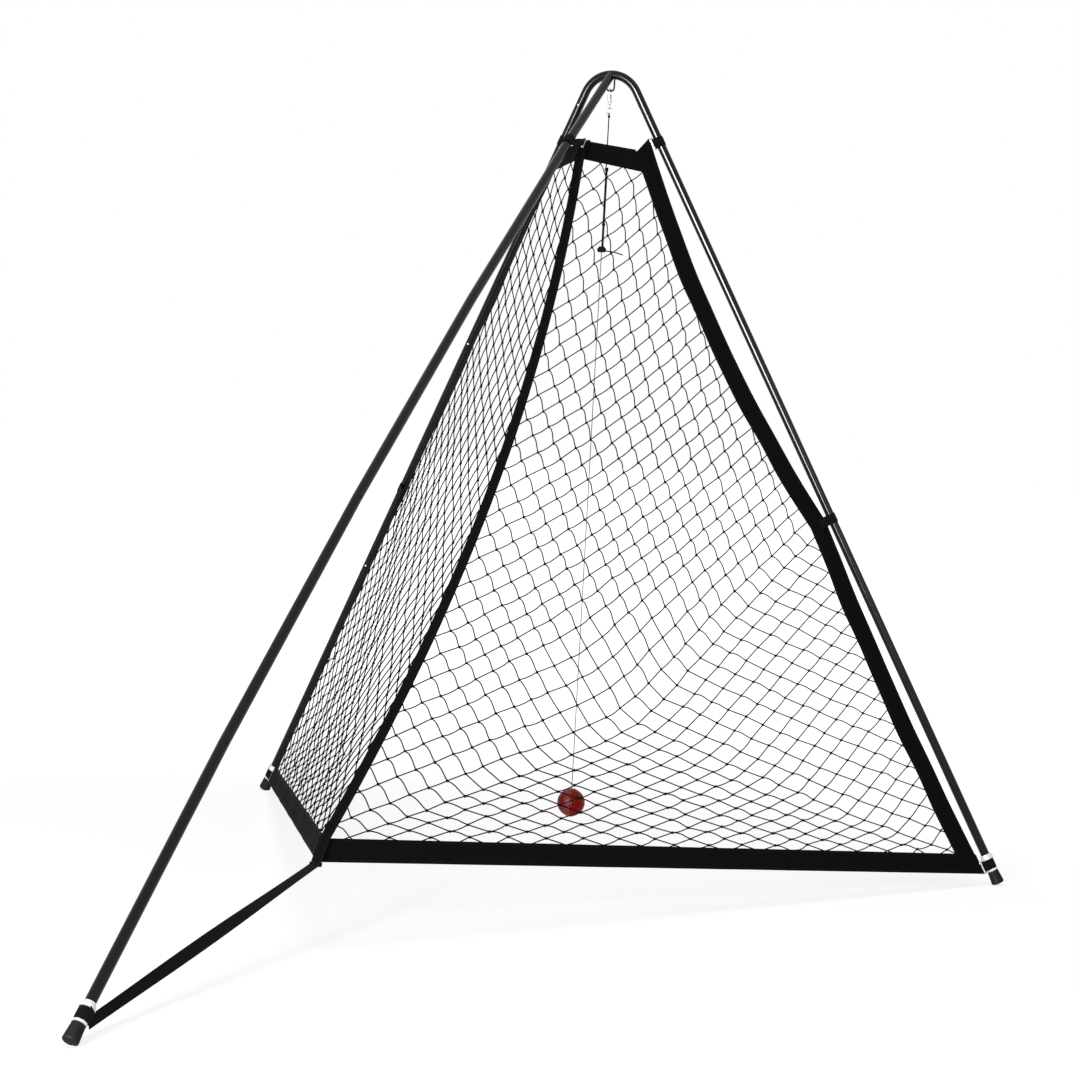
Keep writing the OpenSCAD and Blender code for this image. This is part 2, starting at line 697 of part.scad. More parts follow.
module stay_foot_strap() {
    tail_len_out = 16;
    color("#111112") along(cuff_mid - strap_w / 2 * stay_last_dir, stay_last_dir) {
        difference() {
            cylinder(r = cuff_r, h = strap_w);
            translate([0, 0, -bite]) cylinder(r = waist_r + seat, h = strap_w + 2 * bite);
        }
        translate([-cuff_r - tail_len_out, cuff_r - strap_t, 0])
            cube([cuff_r + tail_len_out, strap_t, strap_w]);
    }
}

// Ground strap: from the folded corner to the cuff, turned a quarter on the way
fold_r = 6;
fold_mid = corner + (fold_r + seat) * fall_dir - band_front * fall_in;
ground_dir = unit(cuff_mid - fold_mid);
ground_start = fold_mid + (fold_r + seat) * ground_dir;
cuff_side = unit(-ground_dir - (-ground_dir * stay_last_dir) * stay_last_dir);
strap_lead = strap_w / 2 * abs(cuff_side * cross(across, ground_dir));
ground_end = cuff_mid + (cuff_r + seat + strap_lead) * cuff_side;
ground_steps = 24;

module ground_strap() {
    run = unit(ground_end - ground_start);
    side = cross(across, run);
    function ring_of(k) =
        let (t = k / ground_steps, turn = 90 * t, mid = ground_start + t * (ground_end - ground_start),
             w = cos(turn) * across + sin(turn) * side, h = cross(run, w))
        [mid - strap_w / 2 * w - strap_t / 2 * h, mid + strap_w / 2 * w - strap_t / 2 * h,
         mid + strap_w / 2 * w + strap_t / 2 * h, mid - strap_w / 2 * w + strap_t / 2 * h];
    points = [for (k = [0:ground_steps]) each ring_of(k)];
    sides = [for (k = [0:ground_steps - 1]) for (m = [0:3])
        let (a = 4 * k + m, b = 4 * k + (m + 1) % 4) [[a, b, b + 4], [a, b + 4, a + 4]]];
    last = 4 * ground_steps;
    color("#111112") polyhedron(points, concat([for (f = sides) each f],
        [[3, 2, 1], [3, 1, 0], [last, last + 1, last + 2], [last, last + 2, last + 3]]));
}

module corner_fold() {
    color("#151516") translate(fold_mid - band_half * across) rotate([0, 90, 0])
        cylinder(r = fold_r, h = strap_w);
}

// A rounded frame of wire, its long sides along y
module wire_frame(wide, high, corner_r, r) {
    for (side = [-1, 1]) {
        translate([side * wide / 2, -high / 2 + corner_r, 0]) rotate([-90, 0, 0])
            cylinder(r = r, h = high - 2 * corner_r);
        translate([-wide / 2 + corner_r, side * high / 2, 0]) rotate([0, 90, 0])
            cylinder(r = r, h = wide - 2 * corner_r);
    }
    for (k = [0:3])
        translate([(k == 0 || k == 3 ? 1 : -1) * (wide / 2 - corner_r),
                (k < 2 ? 1 : -1) * (high / 2 - corner_r), 0])
            rotate([0, 0, 90 * k]) rotate_extrude(angle = 90) translate([corner_r, 0]) circle(r = r);
}

module strap_rings() {
    color("#8f9296") {
        for (side = [-1, 1])
            on_panel(side) {
                translate([top_ring_d + ring_wide / 2, -top_strap_s, 0])
                    wire_frame(ring_wide, ring_long, ring_corner, wire_r);
                translate([foot_ring_d + ring_wide / 2, -foot_strap_s, 0])
                    wire_frame(ring_wide, ring_long, ring_corner, wire_r);
            }
        set_in(stay_ring_bar + ring_wide / 2 * stay_ring_front, stay_ring_front, -fall_dir,
                cross(stay_ring_front, -fall_dir))
            wire_frame(ring_wide, ring_long, ring_corner, wire_r);
    }
}

// Bolt snap: z from the middle of its loop, the nose and the bolt on the -Y side
module snap_body() {
    arm_low = -12;
    plate_half = 2.4;
    color("#bdb8aa") translate(snap_mid) difference() {
        union() {
            rotate([90, 0, 90]) rotate_extrude(angle = 180) translate([loop_r, 0]) circle(r = snap_wire_r);
            translate([0, loop_r, arm_low]) cylinder(r = snap_wire_r, h = -arm_low);
            translate([0, loop_r, arm_low]) sphere(r = snap_wire_r);
            translate([0, -loop_r, barrel_low]) cylinder(r = barrel_r, h = barrel_top - barrel_low);
            translate([-plate_half / 2, -loop_r, arm_low - 2 * plate_half])
                cube([plate_half, 2 * loop_r, 2 * plate_half]);
            translate([-plate_half, -loop_r, barrel_low])
                cube([2 * plate_half, loop_r + plate_half, arm_low - barrel_low]);
            translate([0, 0, base_low]) cylinder(r = base_r, h = base_top - base_low);
        }
        translate([0, -loop_r, bore_low]) cylinder(r = bolt_bore_r, h = barrel_top - bore_low + bite);
        translate([0, -loop_r - slot_half, slot_low])
            cube([2 * barrel_r, 2 * slot_half, stud_z + slot_half - slot_low]);
        translate([0, 0, base_low - bite])
            cylinder(r = pivot_bore_r, h = pivot_pocket_low - base_low + 2 * bite);
        translate([0, 0, pivot_pocket_low])
            cylinder(r = pivot_pocket_r, h = pivot_pocket_top - pivot_pocket_low);
    }
}

module snap_bolt() {
    stud_out = 6.2;
    knob_r = 1.8;
    color("#bdb8aa") translate(snap_mid + [0, -loop_r, 0]) {
        translate([0, 0, bolt_low]) cylinder(r = bolt_r, h = bolt_top - bolt_low);
        translate([0, 0, stud_z]) rotate([0, 90, 0]) cylinder(r = stud_r, h = stud_out);
        translate([stud_out, 0, stud_z]) sphere(r = knob_r);
    }
}

// Coil behind the bolt, kept as a plain sleeve because nothing shows of it
module snap_spring() {
    spring_in = 0.5;
    color("#8d9094") translate(snap_mid + [0, -loop_r, bore_low + pin_gap]) difference() {
        cylinder(r = bolt_r - slide_gap, h = bolt_low - bore_low - 2 * pin_gap);
        translate([0, 0, -bite]) cylinder(r = bolt_r - spring_in, h = bolt_low - bore_low + 2 * bite);
    }
}

module snap_swivel() {
    head_low = pivot_pocket_low + seat;
    color("#bdb8aa") translate(snap_mid) {
        translate([0, 0, eye_top]) cylinder(r = pivot_r, h = head_low - eye_top + bite / 2);
        translate([0, 0, head_low]) cylinder(r = pivot_head_r, h = pivot_head_h);
        translate([0, 0, eye_top - eye_high / 2]) rotate([90, 0, 90])
            wire_frame(eye_wide, eye_high, eye_corner, eye_wire_r);
    }
}

module split_ring() {
    turn_gap = 0.8;
    color("#b5b8bc") translate(snap_mid + split_mid * upward) rotate([90, 0, 0]) rotate_extrude()
        translate([split_r, 0]) for (side = [-1, 1])
            translate([0, side * turn_gap]) circle(r = split_wire_r);
}

// A cord swept along a route of points, round by eight sides
module cord_along(route, r) {
    m = 8;
    last = len(route) - 1;
    function way(k) = unit(route[min(k + 1, last)] - route[max(k - 1, 0)]);
    points = [for (k = [0:last]) let (z = way(k), x = unit(cross([0, 1, 0], z)), y = cross(z, x))
        for (a = [0:m - 1]) route[k] + r * cos(360 * a / m) * x + r * sin(360 * a / m) * y];
    sides = [for (k = [0:last - 1]) for (a = [0:m - 1])
        let (b = (a + 1) % m, low = m * k, high = m * k + m)
        [[low + a, high + b, low + b], [low + a, high + a, high + b]]];
    polyhedron(points, concat([for (f = sides) each f],
        [[for (a = [0:m - 1]) a], [for (a = [m - 1:-1:0]) m * last + a]]));
}

// Hand-chosen route of the doubled strand and of the tail, from the hanging line at x = 0
strand_gap = 0.2;
strand_off = cord_d + strand_gap;
cord_rings = 16;
function drop_route(x, high_z, low_z, rings) =
    [for (k = [0:rings]) hang + x * across + (high_z + (low_z - high_z) * k / rings) * upward];
main_route = drop_route(0, cord_top_z, slide_z, cord_rings);
strand_route = drop_route(strand_off, hitch_z, slide_z, cord_rings);
tail_steps = 8;
tail_root = slide_knot_r - 2 * bite;
tail_z = slide_z - slide_knot_r / 2;
tail_route = [for (k = [0:tail_steps])
    let (t = k / tail_steps)
    hang + (tail_root + t * tail_len) * across + (tail_z - tail_drop * t * t) * upward];
line_rings = 20;
line_top_z = slide_z - slide_knot_r + bite;
line_low_z = ball_height + ball_r - line_in;
line_route = drop_route(0, line_top_z, line_low_z, line_rings);

module hanging_cord() {
    color("#1a1a1b") {
        cord_along(main_route, cord_r);
        cord_along(strand_route, cord_r);
    }
}

module cord_tail() {
    color("#1a1a1b") cord_along(tail_route, cord_r);
}

module ball_line() {
    color("#222223") cord_along(line_route, line_r);
}

// Knots: the loop on the split ring, the hitch, a small stop and the slide knot
module cord_knots() {
    color("#1a1a1b") {
        translate(hang + (snap_mid[2] + split_low) * upward) rotate([90, 0, 90]) rotate_extrude()
            translate([knot_loop_r, 0]) circle(r = knot_loop_wire);
        translate(hang + ring_knot_z * upward) sphere(r = knot_r);
        translate(hang + strand_off / 2 * across + hitch_z * upward) sphere(r = hitch_r);
        translate(hang + strand_off / 2 * across + bead_z * upward) sphere(r = hitch_r);
        translate(hang + slide_z * upward) rotate([0, 90, 0]) rotate_extrude() intersection() {
            for (side = [-1, 1])
                translate([0, side * slide_lobe]) circle(r = slide_knot_r);
            translate([0, -2 * slide_knot_r]) square([2 * slide_knot_r, 4 * slide_knot_r]);
        }
    }
}

module ball_cover() {
    color("#7d1418") translate(ball_mid) difference() {
        rotate([0, 90, 0]) rotate_extrude() difference() {
            intersection() {
                union() {
                    circle(r = ball_r);
                    intersection() {
                        circle(r = ball_r + seam_proud);
                        translate([0, -seam_half]) square([2 * ball_r, 2 * seam_half]);
                    }
                }
                translate([0, -2 * ball_r]) square([2 * ball_r, 4 * ball_r]);
            }
            circle(r = ball_r - cover_t);
        }
        translate([0, 0, ball_r - cover_t - bite]) cylinder(r = line_r + slide_gap, h = 2 * cover_t);
    }
}

module ball_core() {
    color("#9b7b55") translate(ball_mid) sphere(r = ball_r - cover_t - ball_gap);
}

apex_head();
ball_hook();
leg_pole(0, 1);  // right_upper_pole
leg_pole(1, 1);  // right_middle_pole
leg_pole(2, 1);  // right_lower_pole
leg_pole(0, -1);  // left_upper_pole
leg_pole(1, -1);  // left_middle_pole
leg_pole(2, -1);  // left_lower_pole
stay_pole(0);  // stay_upper_pole
stay_pole(1);  // stay_high_pole
stay_pole(2);  // stay_low_pole
stay_pole(3);  // stay_bottom_pole
leg_button(0, 1);  // right_top_button
leg_button(1, 1);  // right_middle_button
leg_button(2, 1);  // right_low_button
leg_button(0, -1);  // left_top_button
leg_button(1, -1);  // left_middle_button
leg_button(2, -1);  // left_low_button
stay_button(0);  // stay_top_button
stay_button(1);  // stay_high_button
stay_button(2);  // stay_low_button
stay_button(3);  // stay_bottom_button
button_springs();
foot(leg_at(leg_foot_s, 1), leg_dir);  // right_foot
foot(leg_at(leg_foot_s, -1), mirror_x(leg_dir));  // left_foot
foot(stay_foot_end, stay_last_dir);  // stay_foot
spool(leg_at(leg_foot_s, 1), leg_dir);  // right_spool
spool(leg_at(leg_foot_s, -1), mirror_x(leg_dir));  // left_spool
spool(stay_foot_end, stay_last_dir);  // stay_spool
net(1);  // right_net
net(-1);  // left_net
edge_webbing(1);  // right_edge_webbing
edge_webbing(-1);  // left_edge_webbing
centre_webbing();
bottom_webbing(1);  // right_bottom_webbing
bottom_webbing(-1);  // left_bottom_webbing
top_webbing(1);  // right_top_webbing
top_webbing(-1);  // left_top_webbing
top_strap(1);  // right_top_strap
top_strap(-1);  // left_top_strap
middle_strap(1);  // right_middle_strap
middle_strap(-1);  // left_middle_strap
foot_strap(1);  // right_foot_strap
foot_strap(-1);  // left_foot_strap
stay_top_strap();
stay_foot_strap();
ground_strap();
strap_rings();
corner_fold();
snap_body();
snap_bolt();
snap_spring();
snap_swivel();
split_ring();
hanging_cord();
cord_knots();
cord_tail();
ball_line();
ball_cover();
ball_core();
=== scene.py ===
"""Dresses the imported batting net: poles, nets, webbing, straps, hanging cord and ball."""
import logging
import math
from dataclasses import dataclass, field
from enum import Enum
from typing import ClassVar

import bpy
import numpy as np
from mathutils import Matrix


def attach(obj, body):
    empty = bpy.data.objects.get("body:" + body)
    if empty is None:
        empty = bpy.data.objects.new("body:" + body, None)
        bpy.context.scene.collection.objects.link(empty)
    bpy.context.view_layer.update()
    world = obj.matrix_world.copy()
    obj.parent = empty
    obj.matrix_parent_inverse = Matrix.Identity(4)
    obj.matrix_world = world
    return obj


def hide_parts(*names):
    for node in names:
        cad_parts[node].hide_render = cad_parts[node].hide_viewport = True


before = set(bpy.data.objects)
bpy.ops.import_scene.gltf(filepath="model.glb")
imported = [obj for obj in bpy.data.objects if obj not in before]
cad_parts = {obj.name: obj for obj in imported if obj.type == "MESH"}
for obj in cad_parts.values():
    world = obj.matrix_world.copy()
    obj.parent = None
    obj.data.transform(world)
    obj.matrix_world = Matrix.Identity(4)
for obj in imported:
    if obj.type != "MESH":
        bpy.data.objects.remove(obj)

log = logging.getLogger("batting_net")
Points = np.ndarray
MM = 0.001
UP = np.array([0.0, 0.0, 1.0])
ACROSS = np.array([1.0, 0.0, 0.0])
FRONT = np.array([0.0, -1.0, 0.0])
# Keeps a division by a length from failing where the length is nothing
TINY = 1e-9


class Side(Enum):
    """Right or left of the middle, as the sign of x."""

    RIGHT = 1
    LEFT = -1

    @property
    def word(self) -> str:
        """Returns the side's word in the names of pieces."""
        return self.name.lower()

    @property
    def mirror(self) -> Points:
        """Returns the factors that bring a right piece's points to this side."""
        return np.array([self.value, 1, 1])


def unit(v: Points) -> Points:
    """Returns the vector at length one."""
    return np.asarray(v, float) / np.linalg.norm(v)


def smooth_step(t: Points) -> Points:
    """Returns an even ramp from 0 to 1, flat at both ends."""
    t = np.clip(t, 0, 1)
    return t * t * (3 - 2 * t)


def add_node(tree: bpy.types.NodeTree, kind: str, inputs: dict | None = None, **settings) -> bpy.types.Node:
    """Adds one node to a tree.

    Args:
        tree: the shader or geometry tree.
        kind: the node's type name.
        inputs: values or sockets for its inputs, by name or number.
        **settings: values of the node's own properties.

    Returns:
        The new node.
    """
    node = tree.nodes.new(kind)
    for name, value in settings.items():
        setattr(node, name, value)
    for key, value in (inputs or {}).items():
        if isinstance(value, bpy.types.NodeSocket):
            tree.links.new(value, node.inputs[key])
        else:
            node.inputs[key].default_value = value
    return node


def linear(colour: str) -> tuple[float, float, float, float]:
    """Turns an sRGB colour to linear light by the standard's own formula.

    Args:
        colour: the colour as a hash mark and six hex digits.

    Returns:
        Red, green, blue and alpha.
    """
    parts = [int(colour[k:k + 2], 16) / 255 for k in (1, 3, 5)]
    red, green, blue = [p / 12.92 if p <= 0.04045 else ((p + 0.055) / 1.055) ** 2.4 for p in parts]
    return red, green, blue, 1.0


class Surface(Enum):
    """How a surface was made, which settles its pattern."""

    SPRAYED = "sprayed"
    PLATED = "plated"
    MOULDED = "moulded"
    TWISTED = "twisted"
    WOVEN = "woven"
    PILE = "pile"
    BRAIDED = "braided"
    GRAINED = "grained"
    PRESSED = "pressed"


@dataclass(frozen=True)
class Finish:
    """One material: what it is, how its surface was made, and the sizes of its pattern."""

    name: str
    surface: Surface
    dark: str
    light: str
    smoothest: float
    roughest: float
    grain_mm: float
    depth_mm: float
    metallic: float = 0.0
    ior: float = 1.5
    sheen: float = 0.0
    specular: float = 0.5
    blotch_mm: float = 60.0

    def height(self, tree: bpy.types.NodeTree, place: bpy.types.Node) -> bpy.types.NodeSocket:
        """Builds the relief of the surface.

        Args:
            tree: the material's tree.
            place: its texture coordinate node.

        Returns:
            The socket that gives the relief from 0 to 1.
        """
        per_metre = 1 / (self.grain_mm * MM)
        if self.surface in (Surface.WOVEN, Surface.BRAIDED):
            # The wave texture turns through 20 radians in each unit of its scale
            wave_turn = 20
            wave_scale = 2 * math.pi / wave_turn * per_metre
            uneven = 0.3
            plait_slant = math.radians(45)
            turn = plait_slant if self.surface is Surface.BRAIDED else 0.0
            bands = []
            for angle in (turn, turn + math.pi / 2):
                turned = add_node(tree, "ShaderNodeMapping",
                                  {"Vector": place.outputs["UV"], "Rotation": (0, 0, angle)})
                wave = add_node(tree, "ShaderNodeTexWave",
                                {"Vector": turned.outputs["Vector"], "Scale": wave_scale,
                                 "Distortion": uneven},
                                wave_type="BANDS", bands_direction="X", wave_profile="SIN")
                bands.append(wave.outputs["Fac"])
            return add_node(tree, "ShaderNodeMath", {0: bands[0], 1: bands[1]},
                            operation="MULTIPLY").outputs["Value"]
        spot = place.outputs["Object"]
        if self.surface in (Surface.GRAINED, Surface.PRESSED):
            cells = add_node(tree, "ShaderNodeTexVoronoi", {"Vector": spot, "Scale": per_metre},
                             feature="DISTANCE_TO_EDGE")
            return cells.outputs["Distance"]
        fibre_detail = 5.0
        skin_detail = 2.0
        detail = fibre_detail if self.surface in (Surface.PILE, Surface.TWISTED) else skin_detail
        noise = add_node(tree, "ShaderNodeTexNoise", {"Vector": spot, "Scale": per_metre, "Detail": detail})
        return noise.outputs["Fac"]

    def make(self) -> bpy.types.Material:
        """Builds the material, with colour, roughness and relief from its pattern; woven cloth also gets
        painted shade in its colour.

        Returns:
            The new material.
        """
        material = bpy.data.materials.new(self.name)
        material.use_nodes = True
        tree = material.node_tree
        tree.nodes.clear()
        place = add_node(tree, "ShaderNodeTexCoord")
        height = self.height(tree, place)
        blotch_detail = 4.0
        blotch_low = 0.3
        blotch_high = 0.7
        blotch = add_node(tree, "ShaderNodeTexNoise",
                          {"Vector": place.outputs["Object"], "Scale": 1 / (self.blotch_mm * MM),
                           "Detail": blotch_detail}).outputs["Fac"]
        tone_and_weave_shade = blotch
        # On woven cloth the colour is darkened where the weave's relief is low: painted shade in the hollows
        # between the threads.
        if self.surface is Surface.WOVEN:
            tone_and_weave_shade = add_node(tree, "ShaderNodeMath", {0: blotch, 1: height}, operation="MULTIPLY",
                            use_clamp=True).outputs["Value"]
        colour = add_node(tree, "ShaderNodeMix",
                          {"Factor": tone_and_weave_shade, "A": linear(self.dark), "B": linear(self.light)}, data_type="RGBA")
        rough = add_node(tree, "ShaderNodeMapRange",
                         {"Value": blotch, "From Min": blotch_low, "From Max": blotch_high,
                          "To Min": self.smoothest, "To Max": self.roughest})
        bump = add_node(tree, "ShaderNodeBump",
                        {"Strength": 1.0, "Distance": self.depth_mm * MM, "Height": height})
        shader = add_node(tree, "ShaderNodeBsdfPrincipled",
                          {"Base Color": colour.outputs["Result"], "Roughness": rough.outputs["Result"],
                           "Normal": bump.outputs["Normal"], "Metallic": self.metallic, "IOR": self.ior,
                           "Sheen Weight": self.sheen, "Specular IOR Level": self.specular})
        add_node(tree, "ShaderNodeOutputMaterial", {"Surface": shader.outputs["BSDF"]})
        return material


@dataclass
class Finishes:
    """The finishes of this object, each made once when it is first asked for."""

    made: dict[str, bpy.types.Material] = field(default_factory=dict)

    # Black enamel sprayed on steel tube: a deep gloss with narrow lights along the tube
    POLE = Finish("gloss_black_enamel_on_steel_tube", Surface.SPRAYED, "#070708", "#0d0d0f",
                  0.12, 0.17, 6.0, 0.002, specular=0.2, blotch_mm=90)
    # The same enamel on thin bent wire, a little duller than on the tube
    HOOK = Finish("black_enamel_on_bent_wire", Surface.SPRAYED, "#08080a", "#131315",
                  0.25, 0.42, 1.5, 0.01, specular=0.15, blotch_mm=12)
    # Zinc plate on steel: pale grey, soft mirror
    BUTTON = Finish("zinc_plated_steel", Surface.PLATED, "#9da0a4", "#cfd2d5",
                    0.2, 0.36, 0.8, 0.004, metallic=1.0, blotch_mm=4)
    # Tempered spring strip, darker than the plate
    SPRING = Finish("tempered_spring_steel", Surface.PLATED, "#6f7276", "#8f9397",
                    0.28, 0.45, 0.8, 0.004, metallic=1.0, blotch_mm=6)
    # Rubber moulded with a dull skin, dusty in patches
    FOOT = Finish("moulded_black_rubber", Surface.MOULDED, "#0b0b0c", "#151516",
                  0.55, 0.75, 0.9, 0.05, ior=1.52, specular=0.08, blotch_mm=14)
    # Polypropylene moulded white, waxy and even
    SPOOL = Finish("moulded_white_polypropylene", Surface.MOULDED, "#d9d7d1", "#eceae5",
                   0.34, 0.5, 1.2, 0.012, ior=1.49, blotch_mm=18)
    # Twine of twisted yarn, knotted by machine and dyed black, matt
    TWINE = Finish("knotted_black_polyester_twine", Surface.TWISTED, "#070708", "#101011",
                   0.7, 0.88, 1.4, 0.25, ior=1.53, specular=0.03, blotch_mm=25)
    # Flat polypropylene webbing; its threads are drawn 2.4 mm apart, coarser than real, so that they show
    WEBBING = Finish("woven_black_polypropylene_webbing", Surface.WOVEN, "#080808", "#161616",
                     0.75, 0.92, 2.4, 0.22, ior=1.49, specular=0.02, blotch_mm=80)
    # Nylon tape with a raised pile, as on hook-and-loop straps
    STRAP = Finish("black_hook_and_loop_nylon_tape", Surface.PILE, "#080808", "#151516",
                   0.8, 0.95, 0.9, 0.3, ior=1.53, sheen=0.02, specular=0.02, blotch_mm=16)
    # Sewing thread in the webbing, a little glossier than the weave
    SEWING = Finish("black_bonded_nylon_thread", Surface.TWISTED, "#0c0c0d", "#1a1a1c",
                    0.45, 0.65, 0.6, 0.05, ior=1.53, specular=0.08, blotch_mm=8)
    # Bright nickel on bent wire
    RING = Finish("nickel_plated_steel_wire", Surface.PLATED, "#a2a4a6", "#cbcdcf",
                  0.14, 0.3, 0.8, 0.003, metallic=1.0, blotch_mm=6)
    # Cast brass, tumbled and nickel plated, so a pale grey with a little warmth
    SNAP = Finish("nickel_plated_cast_brass", Surface.PLATED, "#9f9a8d", "#cbc6b8",
                  0.2, 0.38, 1.0, 0.01, metallic=1.0, blotch_mm=5)
    # Braided polyester cord, its plaits crossing at a slant
    CORD = Finish("braided_black_polyester_cord", Surface.BRAIDED, "#070708", "#121214",
                  0.6, 0.8, 1.2, 0.25, ior=1.53, specular=0.07, blotch_mm=20)
    # Thin braided line of dark grey nylon
    LINE = Finish("braided_grey_nylon_line", Surface.BRAIDED, "#2c2c2e", "#444447",
                  0.45, 0.65, 0.8, 0.15, ior=1.53, specular=0.15, blotch_mm=20)
    # Tanned hide, dyed dark red and waxed, with a fine closed grain
    LEATHER = Finish("waxed_red_leather", Surface.GRAINED, "#560604", "#8f120d",
                     0.25, 0.4, 1.6, 0.02, ior=1.5, specular=0.08, blotch_mm=15)
    # Linen thread on the seam, waxed and dulled by dye from the leather
    SEAM = Finish("waxed_linen_thread", Surface.TWISTED, "#8c5a4e", "#c08c7c",
                  0.55, 0.75, 0.7, 0.05, ior=1.53, blotch_mm=4)
    # Pressed cork grains
    CORE = Finish("pressed_cork", Surface.PRESSED, "#6e5233", "#a98758",
                  0.8, 0.95, 2.5, 0.2, blotch_mm=5)

    def get(self, finish: Finish) -> bpy.types.Material:
        """Gives a finish's material.

        Args:
            finish: the finish asked for.

        Returns:
            Its material, made at the first call.
        """
        if finish.name not in self.made:
            self.made[finish.name] = finish.make()
        return self.made[finish.name]


def new_object(name: str, points: Points, faces: list, uv: Points | None,
               smooth_deg: float) -> bpy.types.Object:
    """Makes a closed mesh object whose faces point outwards.

    Args:
        name: the piece's name.
        points: its vertices in metres, at rest.
        faces: rows of vertex numbers.
        uv: one pair in metres for each corner of each face, or None.
        smooth_deg: edges sharper than this stay sharp.

    Returns:
        The new object, linked to the scene.
    """
    points = np.asarray(points, float)
    middle = points.mean(axis=0)
    volume = 0.0
    for face in faces:
        for k in range(1, len(face) - 1):
            a, b, c = points[[face[0], face[k], face[k + 1]]] - middle
            volume += a @ np.cross(b, c)
    turned = volume < 0
    rows = [list(face)[::-1] if turned else list(face) for face in faces]
    mesh = bpy.data.meshes.new(name)
    mesh.from_pydata(points.tolist(), [], rows)
    if uv is not None:
        layer = mesh.uv_layers.new(name="length_and_width")
        spots = []
        at = 0
        for face in faces:
            part = uv[at:at + len(face)]
            at += len(face)
            spots.append(part[::-1] if turned else part)
        layer.data.foreach_set("uv", np.concatenate(spots).astype(np.float32).ravel())
    mesh.shade_smooth()
    mesh.set_sharp_from_angle(angle=math.radians(smooth_deg))
    mesh.update()
    obj = bpy.data.objects.new(name, mesh)
    bpy.context.scene.collection.objects.link(obj)
    return obj


def dress(obj: bpy.types.Object, material: bpy.types.Material) -> None:
    """Gives the object one material."""
    obj.data.materials.clear()
    obj.data.materials.append(material)


def cloth_strip(name: str, rails: Points, normals: Points, thickness: float) -> bpy.types.Object:
    """Makes a closed strip of cloth over a grid of points.

    Args:
        name: the piece's name.
        rails: points along by points across, in the middle of the cloth.
        normals: the cloth's normal at each point.
        thickness: the cloth's thickness; the two selvedges are thinner.

    Returns:
        The new object, with width and length in metres as its UV.
    """
    along, across = rails.shape[:2]
    selvedge = 0.5
    thin = np.ones(across)
    thin[0] = selvedge
    thin[-1] = selvedge
    half = (thickness / 2 * thin)[None, :, None] * normals
    points = np.concatenate([(rails + half).reshape(-1, 3), (rails - half).reshape(-1, 3)])
    count = along * across
    index = np.arange(count).reshape(along, across)
    top = np.stack([index[:-1, :-1], index[1:, :-1], index[1:, 1:], index[:-1, 1:]], -1).reshape(-1, 4)
    rim = np.concatenate([index[0, :], index[1:, -1], index[-1, -2::-1], index[-2:0:-1, 0]])
    after = np.roll(rim, -1)
    wall = np.stack([rim, after, after + count, rim + count], -1)
    faces = np.concatenate([top, top[:, ::-1] + count, wall])
    wide = np.linalg.norm(np.diff(rails, axis=1), axis=2)
    long = np.linalg.norm(np.diff(rails, axis=0), axis=2)
    u = np.concatenate([np.zeros((along, 1)), np.cumsum(wide, axis=1)], axis=1)
    v = np.concatenate([np.zeros((1, across)), np.cumsum(long, axis=0)], axis=0)
    flat = np.stack([u, v], -1).reshape(-1, 2)
    uv = np.concatenate([flat, flat])[faces.ravel()]
    sharp_over_deg = 40
    return new_object(name, points, faces.tolist(), uv, sharp_over_deg)


def tube_rings(path: Points, radius: float, sides: int) -> tuple[Points, list, Points]:
    """Sweeps a round cord along a path, with rounded ends.

    Args:
        path: points along the cord's middle.
        radius: the cord's radius.
        sides: points round the cord.

    Returns:
        Its points, its faces, and a pair of metres for each face corner.
    """
    path = np.asarray(path, float)
    way = np.gradient(path, axis=0)
    way /= np.linalg.norm(way, axis=1)[:, None]
    nearly_up = 0.9
    side = unit(np.cross(way[0], UP if abs(way[0][2]) < nearly_up else ACROSS))
    frames = []
    for k in range(len(path)):
        side = unit(side - (side @ way[k]) * way[k])
        frames.append((side, np.cross(way[k], side)))
    cap_r = 0.6 * radius
    cap_out = 0.5 * radius
    tip_out = 0.25 * radius
    spots = [path[0] - cap_out * way[0], *path, path[-1] + cap_out * way[-1]]
    sizes = [cap_r, *[radius] * len(path), cap_r]
    turns = [frames[0], *frames, frames[-1]]
    angles = 2 * np.pi * np.arange(sides) / sides
    points = []
    for spot, size, (x, y) in zip(spots, sizes, turns):
        points.append(spot + size * (np.cos(angles)[:, None] * x + np.sin(angles)[:, None] * y))
    rings = len(points)
    tips = [[spots[0] - tip_out * way[0]], [spots[-1] + tip_out * way[-1]]]
    points = np.concatenate([*points, *tips])
    travel = np.concatenate([[0], np.cumsum(np.linalg.norm(np.diff(np.array(spots), axis=0), axis=1))])
    wide = 2 * np.pi * radius / sides
    faces = []
    uv = []
    for k in range(rings - 1):
        for a in range(sides):
            b = (a + 1) % sides
            faces.append([k * sides + a, k * sides + b, (k + 1) * sides + b, (k + 1) * sides + a])
            low, high = travel[k], travel[k + 1]
            uv += [[a * wide, low], [(a + 1) * wide, low], [(a + 1) * wide, high], [a * wide, high]]
    head = rings * sides
    for tip, start, step in ((head, 0, -1), (head + 1, (rings - 1) * sides, 1)):
        for a in range(sides):
            b = (a + 1) % sides
            pair = [start + a, start + b] if step > 0 else [start + b, start + a]
            faces.append([*pair, tip])
            uv += [[a * wide, 0.0], [(a + 1) * wide, 0.0], [a * wide, 0.0]]
    return points, faces, np.array(uv)


